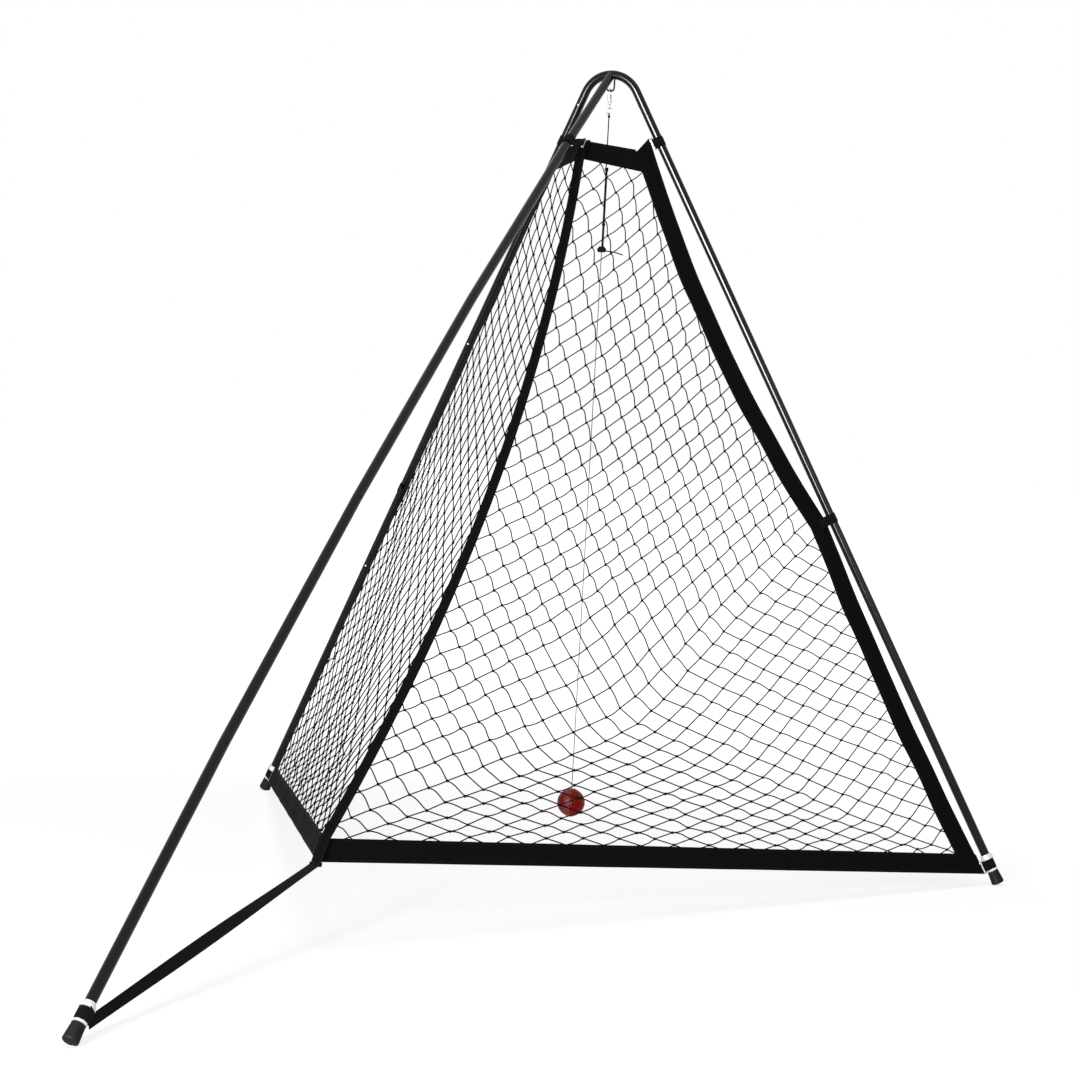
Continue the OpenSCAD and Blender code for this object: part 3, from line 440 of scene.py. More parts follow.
def cord_object(name: str, runs: list[tuple[Points, float]], sides: int) -> bpy.types.Object:
    """Makes one object of several round cords.

    Args:
        name: the piece's name.
        runs: a path and a radius for each cord.
        sides: points round each cord.

    Returns:
        The new object.
    """
    points, faces, uv = [], [], []
    start = 0
    for path, radius in runs:
        some, rows, spots = tube_rings(path, radius, sides)
        points.append(some)
        faces += [[k + start for k in row] for row in rows]
        uv.append(spots)
        start += len(some)
    sharp_over_deg = 60
    return new_object(name, np.concatenate(points), faces, np.concatenate(uv), sharp_over_deg)


@dataclass(frozen=True)
class Winding:
    """Turns of cord wound round an axis: their radius, number, length along it, and points in each turn."""

    radius: float
    turns: float
    rise: float
    steps: int

    def path(self, middle: Points, axis: Points, start: Points) -> Points:
        """Winds the cord.

        Args:
            middle: the winding's middle.
            axis: its axis.
            start: a direction square to the axis, where the cord begins.

        Returns:
            Points along the cord.
        """
        count = int(self.turns * self.steps) + 1
        t = np.linspace(0, 1, count)[:, None]
        other = np.cross(axis, start)
        angle = 2 * np.pi * self.turns * t
        out = np.cos(angle) * start + np.sin(angle) * other
        return middle + (t - 0.5) * self.rise * axis + self.radius * out


@dataclass
class Layout:
    """Driving sizes in metres and degrees, as in the part's source, and the places worked out from them."""

    apex_height: float = 2.097
    leg_splay: float = 26.8
    leg_lean: float = 7.9
    stay_lean: float = 48.5
    stay_bow: float = 0.054
    tube_r: float = 0.0111
    bend_r: float = 0.078
    arch_reach: float = 0.216
    stub_len: float = 0.309
    leg_section: float = 0.705
    stay_section: float = 0.680
    foot_r: float = 0.016
    foot_len: float = 0.036
    foot_flat: float = 0.003
    corner_height: float = 0.185
    corner_reach: float = 1.370
    webbing_w: float = 0.060
    webbing_t: float = 0.0025
    bottom_w: float = 0.050
    strap_w: float = 0.025
    strap_t: float = 0.0015
    band_t: float = 0.002
    seat: float = 0.0003
    bar_w: float = 0.003
    wire_r: float = 0.0015
    ring_wide: float = 0.009
    ring_more: float = 0.005
    ring_inset: float = 0.002
    top_ring_off: float = 0.008
    foot_ring_off: float = 0.0085
    edge_mid_off: float = 0.012
    edge_upper_sag: float = 0.053
    edge_lower_sag: float = 0.016
    top_webbing_fall: float = 0.234
    band_sag: float = 0.160
    band_sag_lead: float = 0.180
    top_strap_below: float = 0.080
    mid_strap_sections: float = 1.61
    stay_strap_below: float = 0.019
    gathered_by: float = 0.003
    spool_wall: float = 0.0015
    spool_rim: float = 0.005
    strap_room: float = 0.001
    fold_r: float = 0.006

    def __post_init__(self) -> None:
        """Works out the places of the frame and the net."""
        splay, lean, stay = (math.radians(a) for a in (self.leg_splay, self.leg_lean, self.stay_lean))
        self.plane_down = np.array([0, math.sin(lean), -math.cos(lean)])
        self.leg_dir = math.sin(splay) * ACROSS + math.cos(splay) * self.plane_down
        self.leg_len = self.apex_height / -self.leg_dir[2]
        crown_drop = self.bend_r / math.sin(splay) - self.bend_r
        crown_height = self.apex_height - crown_drop * math.cos(lean)
        self.stay_dir = np.array([0, -math.sin(stay), -math.cos(stay)])
        self.stay_up = np.array([0, -math.cos(stay), math.sin(stay)])
        self.stay_len = crown_height / math.cos(stay)
        stay_front = self.stay_len * math.sin(stay) - crown_drop * math.sin(lean)
        self.apex = np.array([0, (stay_front - self.leg_len * self.leg_dir[1]) / 2, self.apex_height])
        self.crown = self.apex + crown_drop * self.plane_down
        self.waist_r = self.tube_r + self.spool_wall
        tilt = math.acos(-self.leg_dir[2])
        leg_foot_s = self.leg_len - self.foot_r * math.tan(tilt) + self.foot_flat / math.cos(tilt)
        self.spool_mid = self.foot_len + self.seat + self.spool_rim + (self.strap_w + self.strap_room) / 2
        self.top_strap_s = self.arch_reach + self.top_strap_below
        self.mid_strap_s = self.arch_reach + self.mid_strap_sections * self.leg_section
        self.foot_strap_s = leg_foot_s - self.spool_mid
        self.ring_long = self.strap_w + self.ring_more
        self.ring_slot_r = self.wire_r + self.seat
        self.top_ring_d = self.tube_r + self.top_ring_off
        self.foot_ring_d = self.waist_r + self.foot_ring_off
        self.corner = self.apex + np.array([0, -self.corner_reach, self.corner_height - self.apex_height])
        off = self.corner - self.apex
        self.d_dir = unit(off - (off @ self.leg_dir) * self.leg_dir)
        self.panel_in = np.cross(self.leg_dir, self.d_dir)
        self.fall_dir = unit(self.corner - self.crown)
        self.fall_in = np.array([0, -self.fall_dir[2], self.fall_dir[1]])
        self.net_top_fall = self.top_webbing_fall + self.webbing_w
        past_ring = self.ring_wide + self.wire_r + self.seat
        self.edge_top_d = self.top_ring_d + past_ring
        self.edge_mid_d = self.tube_r + self.edge_mid_off
        self.edge_foot_d = self.foot_ring_d + past_ring
        self.edge_top_s = self.top_strap_s - self.ring_long / 2 - self.ring_inset
        self.net_edge_top_s = self.top_strap_s + self.webbing_w
        self.bottom_leg = np.array([self.edge_foot_d, self.foot_strap_s + self.ring_long / 2])
        self.bottom_dir = unit(np.array([off @ self.d_dir, off @ self.leg_dir]) - self.bottom_leg)
        self.bottom_up = np.array([self.bottom_dir[1], -self.bottom_dir[0]])
        self.net_rise = self.bottom_w + 2 * self.seat
        rise_dir = self.bottom_up[0] * self.d_dir + self.bottom_up[1] * self.leg_dir
        self.band_front = self.band_t / 2 + self.seat + max(self.bar_w, self.webbing_t) / 2
        self.band_top = self.crown + self.net_top_fall * self.fall_dir
        self.band_low = self.corner + self.net_rise / (self.fall_dir @ rise_dir) * self.fall_dir
        self.band_pull = ((self.band_top + self.band_low) / 2 + 2 * self.band_sag * self.fall_in
                          - self.band_sag_lead * self.fall_dir)
        self.net_edge_low_s = self.edge_meets(self.webbing_w, self.net_rise)
        joint = self.stay_at(self.stub_len + 3 * self.stay_section)
        self.stay_last_dir = unit(self.stay_at(self.stay_len) - joint)
        stay_tilt = math.acos(-self.stay_last_dir[2])
        last_len = np.linalg.norm(self.stay_at(self.stay_len) - joint)
        foot_at = last_len - self.foot_r * math.tan(stay_tilt) + self.foot_flat / math.cos(stay_tilt)
        self.cuff_mid = joint + (foot_at - self.spool_mid) * self.stay_last_dir

    def leg_at(self, s: float) -> Points:
        """Returns the point at a distance down the right leg from the legs' meeting point."""
        return self.apex + s * self.leg_dir

    def stay_at(self, s: float) -> Points:
        """Returns the point at a distance down the bowed stay pole."""
        t = s / self.stay_len
        return self.crown + s * self.stay_dir + 4 * self.stay_bow * t * (1 - t) * self.stay_up

    def panel(self, s: Points, d: Points) -> Points:
        """Returns points of the right panel's plane, s down the leg and d away from it."""
        return self.apex + np.multiply.outer(s, self.leg_dir) + np.multiply.outer(d, self.d_dir)

    def edge_out(self, s: Points) -> Points:
        """Works out how the side webbing's outer edge hangs, in two swags between three straps.

        Args:
            s: distances down the leg.

        Returns:
            The edge's distances from the leg's middle line.
        """
        s = np.asarray(s, float)
        upper = np.clip((s - self.top_strap_s) / (self.mid_strap_s - self.top_strap_s), 0, None)
        lower = (s - self.mid_strap_s) / (self.foot_strap_s - self.mid_strap_s)
        high = (self.edge_top_d + upper * (self.edge_mid_d - self.edge_top_d)
                + 4 * self.edge_upper_sag * upper * (1 - upper))
        low = (self.edge_mid_d + lower * (self.edge_foot_d - self.edge_mid_d)
               + 4 * self.edge_lower_sag * lower * (1 - lower))
        return np.where(s < self.mid_strap_s, high, low)

    def bottom_line(self, d: float, rise: float) -> float:
        """Returns s on the line at a height above the bottom webbing's low edge."""
        start = self.bottom_leg + rise * self.bottom_up
        return start[1] + (d - start[0]) * self.bottom_dir[1] / self.bottom_dir[0]

    def edge_meets(self, wide: float, rise: float) -> float:
        """Finds where a line along the side webbing meets a line along the bottom webbing.

        Args:
            wide: from the side webbing's outer edge to its line.
            rise: from the bottom webbing's low edge to its line.

        Returns:
            The distance down the leg.
        """
        settle_steps = 6
        s = self.foot_strap_s - self.bottom_w
        for _ in range(settle_steps):
            s = float(self.bottom_line(float(self.edge_out(s)) + wide, rise))
        return s

    def band_at(self, w: Points) -> Points:
        """Returns points of the centre line where the two panels meet, w from 0 at the top to 1."""
        w = np.asarray(w, float)[..., None]
        return (1 - w) ** 2 * self.band_top + 2 * w * (1 - w) * self.band_pull + w * w * self.band_low


class LampReach(Enum):
    """Which surfaces a lamp works on."""

    ALL = "all"
    GLOSS = "gloss"
    MATT = "matt"


@dataclass(frozen=True)
class SoftBox:
    """One soft box: its place, width and height in metres, its power in watts, and what it works on."""

    name: str
    spot: tuple[float, float, float]
    wide: float
    tall: float
    watts: float
    reach: LampReach = LampReach.ALL


@dataclass
class Studio:
    """Camera at the photograph's viewing angle, soft lamps, pale floor and white surround."""

    eye: tuple[float, float, float] = (2.27453, -4.66178, 1.14602)
    right: tuple[float, float, float] = (0.9178441, 0.3932338, 0.0541234)
    down: tuple[float, float, float] = (0.0718589, -0.0305087, -0.9969481)
    lens_mm: float = 78.647
    sensor_mm: float = 36.0
    sees_to: float = 200.0
    floor_half: float = 40.0
    floor_white: str = "#f6f6f5"
    near_floor: float = 1.8
    far_floor: float = 3.6
    shadow_share: float = 0.4
    floor_glow: float = 1.2
    sky_light: float = 0.4
    aim: tuple[float, float, float] = (0.0, 0.0, 0.9)
    boxes: tuple[SoftBox, ...] = (
        SoftBox("key_box", (0.3, -5.3, 1.35), 0.55, 2.6, 200),
        SoftBox("gleam_panel", (0.0, -5.4, 1.36), 3.6, 2.68, 2050, LampReach.GLOSS),
        SoftBox("fill_box", (5.0, -2.0, 2.6), 1.6, 1.6, 30),
        SoftBox("top_box", (0.3, 0.6, 6.0), 4.0, 4.0, 110, LampReach.MATT),
    )

    def build_camera(self) -> None:
        """Sets the camera where the photograph was taken."""
        right = np.array(self.right)
        up = -np.array(self.down)
        back = np.cross(right, up)
        data = bpy.data.cameras.new("photo_camera")
        data.lens = self.lens_mm
        data.sensor_width = self.sensor_mm
        data.clip_end = self.sees_to
        camera = bpy.data.objects.new("photo_camera", data)
        turn = np.eye(4)
        turn[:3, 0] = right
        turn[:3, 1] = up
        turn[:3, 2] = back
        turn[:3, 3] = self.eye
        camera.matrix_world = Matrix(turn.tolist())
        bpy.context.scene.collection.objects.link(camera)
        bpy.context.scene.camera = camera

    def seen(self, tree: bpy.types.NodeTree) -> bpy.types.NodeSocket:
        """Tells apart the rays that look from those that only light.

        Args:
            tree: the material's or the world's tree.

        Returns:
            A socket that is 1 for rays of the camera and of mirrors and glass.
        """
        path = add_node(tree, "ShaderNodeLightPath")
        either = add_node(tree, "ShaderNodeMath",
                          {0: path.outputs["Is Camera Ray"], 1: path.outputs["Is Glossy Ray"]},
                          operation="MAXIMUM")
        return add_node(tree, "ShaderNodeMath",
                        {0: either.outputs["Value"], 1: path.outputs["Is Transmission Ray"]},
                        operation="MAXIMUM").outputs["Value"]

    def build_floor(self) -> None:
        """Lays a pale floor that keeps the shadow near the object and is white further out."""
        half = self.floor_half
        mesh = bpy.data.meshes.new("floor")
        corners = [(-half, -half, 0), (half, -half, 0), (half, half, 0), (-half, half, 0)]
        mesh.from_pydata(corners, [], [(0, 1, 2, 3)])
        floor = bpy.data.objects.new("floor", mesh)
        bpy.context.scene.collection.objects.link(floor)
        material = bpy.data.materials.new("white_studio_floor")
        material.use_nodes = True
        tree = material.node_tree
        tree.nodes.clear()
        place = add_node(tree, "ShaderNodeTexCoord")
        away = add_node(tree, "ShaderNodeVectorMath", {0: place.outputs["Object"]}, operation="LENGTH")
        glow = add_node(tree, "ShaderNodeMapRange",
                        {"Value": away.outputs["Value"], "From Min": self.near_floor,
                         "From Max": self.far_floor, "To Min": 1 - self.shadow_share, "To Max": 1.0})
        share = add_node(tree, "ShaderNodeMath", {0: glow.outputs["Result"], 1: self.seen(tree)},
                         operation="MULTIPLY")
        matt = add_node(tree, "ShaderNodeBsdfDiffuse", {"Color": linear(self.floor_white)})
        white = add_node(tree, "ShaderNodeEmission", {"Color": (1, 1, 1, 1), "Strength": self.floor_glow})
        mixed = add_node(tree, "ShaderNodeMixShader",
                         {0: share.outputs["Value"], 1: matt.outputs["BSDF"], 2: white.outputs["Emission"]})
        add_node(tree, "ShaderNodeOutputMaterial", {"Surface": mixed.outputs["Shader"]})
        dress(floor, material)

    def build_surround(self) -> None:
        """Makes the surround white to look at and a softer light to the object."""
        world = bpy.data.worlds.new("white_surround")
        bpy.context.scene.world = world
        world.use_nodes = True
        tree = world.node_tree
        tree.nodes.clear()
        seen = self.seen(tree)
        soft = add_node(tree, "ShaderNodeBackground", {"Color": (1, 1, 1, 1), "Strength": self.sky_light})
        white = add_node(tree, "ShaderNodeBackground", {"Color": (1, 1, 1, 1), "Strength": 1.0})
        mixed = add_node(tree, "ShaderNodeMixShader",
                         {0: seen, 1: soft.outputs["Background"], 2: white.outputs["Background"]})
        add_node(tree, "ShaderNodeOutputWorld", {"Surface": mixed.outputs["Shader"]})

    def build_lamps(self) -> None:
        """Hangs the soft boxes; the gleam panel shows in gloss only and the top box doesn't."""
        nearly_up = 0.95
        for box in self.boxes:
            data = bpy.data.lights.new(box.name, "AREA")
            data.shape = "RECTANGLE"
            data.size = box.wide
            data.size_y = box.tall
            data.energy = box.watts
            lamp = bpy.data.objects.new(box.name, data)
            lamp.visible_diffuse = box.reach is not LampReach.GLOSS
            lamp.visible_glossy = box.reach is not LampReach.MATT
            back = unit(np.array(box.spot) - np.array(self.aim))
            side = unit(np.cross(UP if abs(back[2]) < nearly_up else -FRONT, back))
            turn = np.eye(4)
            turn[:3, 0] = side
            turn[:3, 1] = np.cross(back, side)
            turn[:3, 2] = back
            turn[:3, 3] = box.spot
            lamp.matrix_world = Matrix(turn.tolist())
            bpy.context.scene.collection.objects.link(lamp)

    def build(self) -> None:
        """Builds the whole studio."""
        scene = bpy.context.scene
        scene.view_settings.view_transform = "Standard"
        self.build_camera()
        self.build_floor()
        self.build_surround()
        self.build_lamps()
        log.info("studio built")


@dataclass(frozen=True)
class CordRun:
    """One stretch of cord: its name, the solid it stands for, its route, its radius and how it is held."""

    name: str
    node: str
    route: Points
    radius: float
    finish: Finish
    far_end: str
    lay: str


@dataclass
class HangingCord:
    """Cord from the split ring down to the ball: main cord, doubled strand, knots, tail and ball line."""

    layout: Layout
    finishes: Finishes
    hook_below: float = 0.030
    snap_below_hook: float = 0.00205
    split_low: float = 0.0575
    ring_loop: Winding = Winding(0.0034, 1.0, 0.0024, 24)
    ring_loop_cord_r: float = 0.0012
    ring_knot: Winding = Winding(0.0022, 2.6, 0.0046, 16)
    ring_knot_cord: float = 0.9
    hitch: Winding = Winding(0.0034, 3.4, 0.0085, 16)
    bead: Winding = Winding(0.0034, 2.2, 0.0056, 16)
    knot_r: float = 0.0033
    bite: float = 0.001
    cord_r: float = 0.0015
    line_r: float = 0.001
    strand_off: float = 0.0032
    hitch_part: float = 0.075
    bead_part: float = 0.154
    slide_part: float = 0.190
    slide_r: float = 0.008
    slide_lobe: float = 0.0035
    slide_cord: float = 1.35
    slide_turns: float = 4.5
    collar_turns: float = 1.5
    collar_rise: float = 0.004
    collar_lean: float = 0.5
    collar_sunk: float = 0.7
    slide_steps: int = 20
    tail_len: float = 0.052
    tail_drop: float = 0.009
    line_in: float = 0.003
    ball_r: float = 0.036
    ball_height: float = 0.124
    cord_sides: int = 12
    knot_sides: int = 8
    cord_points: int = 40
    tail_points: int = 24
    line_points: int = 60
    core_points: int = 6

    def __post_init__(self) -> None:
        """Works out the heights of the knots."""
        crown = self.layout.crown
        self.hang = np.array([0.0, crown[1], 0.0])
        self.snap_z = crown[2] - self.layout.tube_r - self.hook_below - self.snap_below_hook
        self.loop_z = self.snap_z - self.split_low
        self.ring_knot_z = self.loop_z - self.ring_loop.radius - self.knot_r + self.bite
        self.top_z = self.ring_knot_z - self.knot_r + self.bite
        drop = self.top_z - self.ball_height
        self.hitch_z = self.top_z - self.hitch_part * drop
        self.bead_z = self.top_z - self.bead_part * drop
        self.slide_z = self.top_z - self.slide_part * drop

    def at(self, x: float, z: float) -> Points:
        """Returns a point beside the hanging line."""
        return self.hang + np.array([x, 0, z])

    def straight(self, x: float, high: float, low: float, count: int) -> Points:
        """Returns points down a straight stretch of cord."""
        return np.array([self.at(x, z) for z in np.linspace(high, low, count)])

    def runs(self) -> list[CordRun]:
        """Works out the four cords.

        Returns:
            The main cord, the doubled strand, the tail and the ball line.
        """
        main = self.straight(0, self.top_z, self.slide_z, self.cord_points)
        strand = self.straight(self.strand_off, self.hitch_z, self.slide_z, self.cord_points)
        root = self.slide_r - 2 * self.bite
        high = self.slide_z - self.slide_r / 2
        tail = np.array([self.at(root + t * self.tail_len, high - self.tail_drop * t * t)
                         for t in np.linspace(0, 1, self.tail_points)])
        line_low = self.ball_height + self.ball_r - self.line_in
        line = self.straight(0, self.slide_z - self.slide_r + self.bite, line_low, self.line_points)
        return [
            CordRun("main_cord", "hanging_cord", main, self.cord_r, Finishes.CORD, "knot", "taut"),
            CordRun("doubled_strand", "hanging_cord", strand, self.cord_r, Finishes.CORD, "knot", "taut"),
            CordRun("cord_loose_tail", "cord_tail", tail, self.cord_r, Finishes.CORD, "bare", "loose"),
            CordRun("thin_ball_line", "ball_line", line, self.line_r, Finishes.LINE, "object", "taut"),
        ]

    def build_knots(self) -> bpy.types.Object:
        """Ties the loop on the ring, its knot, the hitch, the bead and the slide knot as wound cord.

        Returns:
            One object of all the knots.
        """
        both = self.strand_off / 2
        fat = self.slide_cord * self.cord_r
        wide = 2 * (self.slide_r + self.slide_lobe) - 4 * self.cord_r
        middle = self.at(0, self.slide_z)
        body = Winding(self.slide_r - fat, self.slide_turns, wide, self.slide_steps)
        collar = Winding(self.slide_r - self.collar_sunk * fat, self.collar_turns, self.collar_rise,
                         self.slide_steps)
        core = np.array([middle + t * wide / 2 * ACROSS for t in np.linspace(-1, 1, self.core_points)])
        runs = [
            (self.ring_loop.path(self.at(0, self.loop_z), ACROSS, -UP), self.ring_loop_cord_r),
            (self.ring_knot.path(self.at(0, self.ring_knot_z), UP, FRONT), self.ring_knot_cord * self.cord_r),
            (self.hitch.path(self.at(both, self.hitch_z), UP, FRONT), self.cord_r),
            (self.bead.path(self.at(both, self.bead_z), UP, FRONT), self.cord_r),
            (body.path(middle, ACROSS, FRONT), fat),
            (collar.path(middle, unit(UP + self.collar_lean * ACROSS), FRONT), fat),
            (core, self.slide_r - 2 * fat + self.bite),
        ]
        obj = cord_object("tied_cord_knots", runs, self.knot_sides)
        dress(obj, self.finishes.get(Finishes.CORD))
        return obj

    def declare(self, obj: bpy.types.Object, node: str) -> None:
        """Puts a piece of the cord on the ball's body and hides the plain solid that it stands for.

        Args:
            obj: the piece.
            node: the plain solid that it stands for.
        """
        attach(obj, "hanging_ball")
        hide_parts(node)

    def build(self) -> None:
        runs = self.runs()
        for run in runs:
            obj = cord_object(run.name, [(run.route, run.radius)], self.cord_sides)
            dress(obj, self.finishes.get(run.finish))
            self.declare(obj, run.node)
        knots = self.build_knots()
        self.declare(knots, "cord_knots")
        log.info("%s tied", knots.name)


@dataclass
class NodeTools:
    """Geometry Nodes trees of this object: net twine with knots, and rows of stitches."""

    finishes: Finishes
    trees: dict[str, bpy.types.NodeTree] = field(default_factory=dict)
    twine_sides: int = 5
    knot_turns: float = 2.0
    knot_tall: float = 1.5
    knot_steps: int = 6
    knot_strand: float = 1.15
    knot_strand_sides: int = 4
    stitch_skew: float = 0.06
    stitch_sides: int = 5
    stitch_rings: int = 4

    def new_tree(self, name: str, sizes: tuple[str, ...]
                 ) -> tuple[bpy.types.NodeTree, bpy.types.Node, bpy.types.Node]:
        """Starts a tree with a mesh, named sizes, a seed and a material going in and a mesh coming out.

        Args:
            name: the tree's name.
            sizes: names of its sizes.

        Returns:
            The tree, its input node and its output node.
        """
        tree = bpy.data.node_groups.new(name, "GeometryNodeTree")
        tree.interface.new_socket("Mesh", in_out="INPUT", socket_type="NodeSocketGeometry")
        for size in sizes:
            tree.interface.new_socket(size, in_out="INPUT", socket_type="NodeSocketFloat")
        tree.interface.new_socket("Seed", in_out="INPUT", socket_type="NodeSocketInt")
        tree.interface.new_socket("Material", in_out="INPUT", socket_type="NodeSocketMaterial")
        tree.interface.new_socket("Mesh", in_out="OUTPUT", socket_type="NodeSocketGeometry")
        self.trees[name] = tree
        return tree, add_node(tree, "NodeGroupInput"), add_node(tree, "NodeGroupOutput")

    def close_tree(self, tree: bpy.types.NodeTree, shape: bpy.types.NodeSocket, start: bpy.types.Node,
                   end: bpy.types.Node) -> None:
        """Ends a tree: instances made real, smooth, and the material set.

        Args:
            tree: the tree.
            shape: the geometry made so far.
            start: the tree's input node.
            end: its output node.
        """
        real = add_node(tree, "GeometryNodeRealizeInstances", {"Geometry": shape})
        smooth = add_node(tree, "GeometryNodeSetShadeSmooth", {"Geometry": real.outputs["Geometry"]})
        painted = add_node(tree, "GeometryNodeSetMaterial",
                           {"Geometry": smooth.outputs["Geometry"], "Material": start.outputs["Material"]})
        tree.links.new(painted.outputs["Geometry"], end.inputs["Mesh"])

    def twine_tree(self) -> bpy.types.NodeTree:
        """Builds the tree that makes twine along every bar and a wound knot at every crossing.

        Returns:
            The tree, made at the first call.
        """
        if "net_twine" in self.trees:
            return self.trees["net_twine"]
        full_turn = 2 * math.pi
        tree, start, end = self.new_tree("net_twine", ("Twine radius", "Knot radius"))
        twine_r = start.outputs["Twine radius"]
        knot_r = start.outputs["Knot radius"]
        crossing = add_node(tree, "GeometryNodeInputNamedAttribute", {"Name": "crossing"},
                            data_type="BOOLEAN")
        parts = add_node(tree, "GeometryNodeSeparateGeometry",
                         {"Geometry": start.outputs["Mesh"], "Selection": crossing.outputs["Attribute"]},
                         domain="POINT")
        line = add_node(tree, "GeometryNodeMeshToCurve", {"Mesh": parts.outputs["Inverted"]})
        ring = add_node(tree, "GeometryNodeCurvePrimitiveCircle",
                        {"Resolution": self.twine_sides, "Radius": twine_r})
        twine = add_node(tree, "GeometryNodeCurveToMesh",
                         {"Curve": line.outputs["Curve"], "Profile Curve": ring.outputs["Curve"],
                          "Fill Caps": True})
        tall = add_node(tree, "ShaderNodeMath", {0: knot_r, 1: self.knot_tall}, operation="MULTIPLY")
        wound = add_node(tree, "GeometryNodeCurveSpiral",
                         {"Resolution": self.knot_steps, "Rotations": self.knot_turns, "Start Radius": knot_r,
                          "End Radius": knot_r, "Height": tall.outputs["Value"]})
        sunk = add_node(tree, "ShaderNodeMath", {0: tall.outputs["Value"], 1: -0.5}, operation="MULTIPLY")
        lift = add_node(tree, "ShaderNodeCombineXYZ", {"Z": sunk.outputs["Value"]})
        centred = add_node(tree, "GeometryNodeTransform",
                           {"Geometry": wound.outputs["Curve"], "Translation": lift.outputs["Vector"]})
        fat = add_node(tree, "ShaderNodeMath", {0: twine_r, 1: self.knot_strand}, operation="MULTIPLY")
        strand = add_node(tree, "GeometryNodeCurvePrimitiveCircle",
                          {"Resolution": self.knot_strand_sides, "Radius": fat.outputs["Value"]})
        knot = add_node(tree, "GeometryNodeCurveToMesh",
                        {"Curve": centred.outputs["Geometry"], "Profile Curve": strand.outputs["Curve"],
                         "Fill Caps": True})
        turn = add_node(tree, "FunctionNodeRandomValue",
                        {"Max": (full_turn, full_turn, full_turn), "Seed": start.outputs["Seed"]},
                        data_type="FLOAT_VECTOR")
        spots = add_node(tree, "GeometryNodeMeshToPoints", {"Mesh": parts.outputs["Selection"]})
        knots = add_node(tree, "GeometryNodeInstanceOnPoints",
                         {"Points": spots.outputs["Points"], "Instance": knot.outputs["Mesh"],
                          "Rotation": turn.outputs["Value"]})
        both = add_node(tree, "GeometryNodeJoinGeometry")
        tree.links.new(twine.outputs["Mesh"], both.inputs["Geometry"])
        tree.links.new(knots.outputs["Instances"], both.inputs["Geometry"])
        self.close_tree(tree, both.outputs["Geometry"], start, end)
        return tree

    def stitch_tree(self) -> bpy.types.NodeTree:
        """Builds the tree that lays short rounded stitches end to end along guide lines.

        Returns:
            The tree, made at the first call.
        """
        if "stitches" in self.trees:
            return self.trees["stitches"]
        tree, start, end = self.new_tree("stitches", ("Pitch", "Length", "Thread radius"))
        line = add_node(tree, "GeometryNodeMeshToCurve", {"Mesh": start.outputs["Mesh"]})
        evenly = add_node(tree, "GeometryNodeResampleCurve",
                          {"Curve": line.outputs["Curve"], "Length": start.outputs["Pitch"]}, mode="LENGTH")
        way = add_node(tree, "GeometryNodeInputTangent")
        most = (self.stitch_skew, self.stitch_skew, self.stitch_skew)
        least = (-self.stitch_skew, -self.stitch_skew, -self.stitch_skew)
        jitter = add_node(tree, "FunctionNodeRandomValue",
                          {"Min": least, "Max": most, "Seed": start.outputs["Seed"]},
                          data_type="FLOAT_VECTOR")
        skew = add_node(tree, "ShaderNodeVectorMath",
                        {0: way.outputs["Tangent"], 1: jitter.outputs["Value"]}, operation="ADD")
        turn = add_node(tree, "FunctionNodeAlignRotationToVector", {"Vector": skew.outputs["Vector"]},
                        axis="Z")
        bead = add_node(tree, "GeometryNodeMeshUVSphere",
                        {"Segments": self.stitch_sides, "Rings": self.stitch_rings, "Radius": 1.0})
        half = add_node(tree, "ShaderNodeMath", {0: start.outputs["Length"], 1: 0.5}, operation="MULTIPLY")
        size = add_node(tree, "ShaderNodeCombineXYZ",
                        {"X": start.outputs["Thread radius"], "Y": start.outputs["Thread radius"],
                         "Z": half.outputs["Value"]})
        laid = add_node(tree, "GeometryNodeInstanceOnPoints",
                        {"Points": evenly.outputs["Curve"], "Instance": bead.outputs["Mesh"],
                         "Rotation": turn.outputs["Rotation"], "Scale": size.outputs["Vector"]})
        self.close_tree(tree, laid.outputs["Instances"], start, end)
        return tree

    def run(self, name: str, guide: bpy.types.Mesh, tree: bpy.types.NodeTree,
            sizes: dict) -> bpy.types.Object:
        """Runs a tree on a guide mesh and keeps the result as a plain mesh.

        Args:
            name: the new piece's name.
            guide: the guide lines.
            tree: the tree to run.
            sizes: values for its named inputs.

        Returns:
            The new object, with no modifier.
        """
        maker = bpy.data.objects.new(name + "_guide", guide)
        bpy.context.scene.collection.objects.link(maker)
        modifier = maker.modifiers.new("tree", "NODES")
        modifier.node_group = tree
        for item in tree.interface.items_tree:
            if item.in_out == "INPUT" and item.name in sizes:
                modifier[item.identifier] = sizes[item.name]
        ready = maker.evaluated_get(bpy.context.evaluated_depsgraph_get())
        mesh = bpy.data.meshes.new_from_object(ready)
        mesh.name = name
        bpy.data.objects.remove(maker)
        bpy.data.meshes.remove(guide)
        obj = bpy.data.objects.new(name, mesh)
        bpy.context.scene.collection.objects.link(obj)
        return obj

    def stitch(self, name: str, rows: list[Points], finish: Finish, pitch: float, length: float,
               radius: float, seed: int) -> bpy.types.Object:
        """Sews rows of stitches.

        Args:
            name: the new piece's name.
            rows: points along each row.
            finish: the thread's finish.
            pitch: from one stitch to the next.
            length: visible length of a stitch.
            radius: the thread's radius.
            seed: fixed seed of the small skew.

        Returns:
            One object of all the stitches.
        """
        points, edges = [], []
        for row in rows:
            first = len(points)
            points += [tuple(p) for p in row]
            edges += [(k, k + 1) for k in range(first, len(points) - 1)]
        guide = bpy.data.meshes.new(name + "_rows")
        guide.from_pydata(points, edges, [])
        sizes = {"Pitch": pitch, "Length": length, "Thread radius": radius, "Seed": seed,
                 "Material": self.finishes.get(finish)}
        return self.run(name, guide, self.stitch_tree(), sizes)


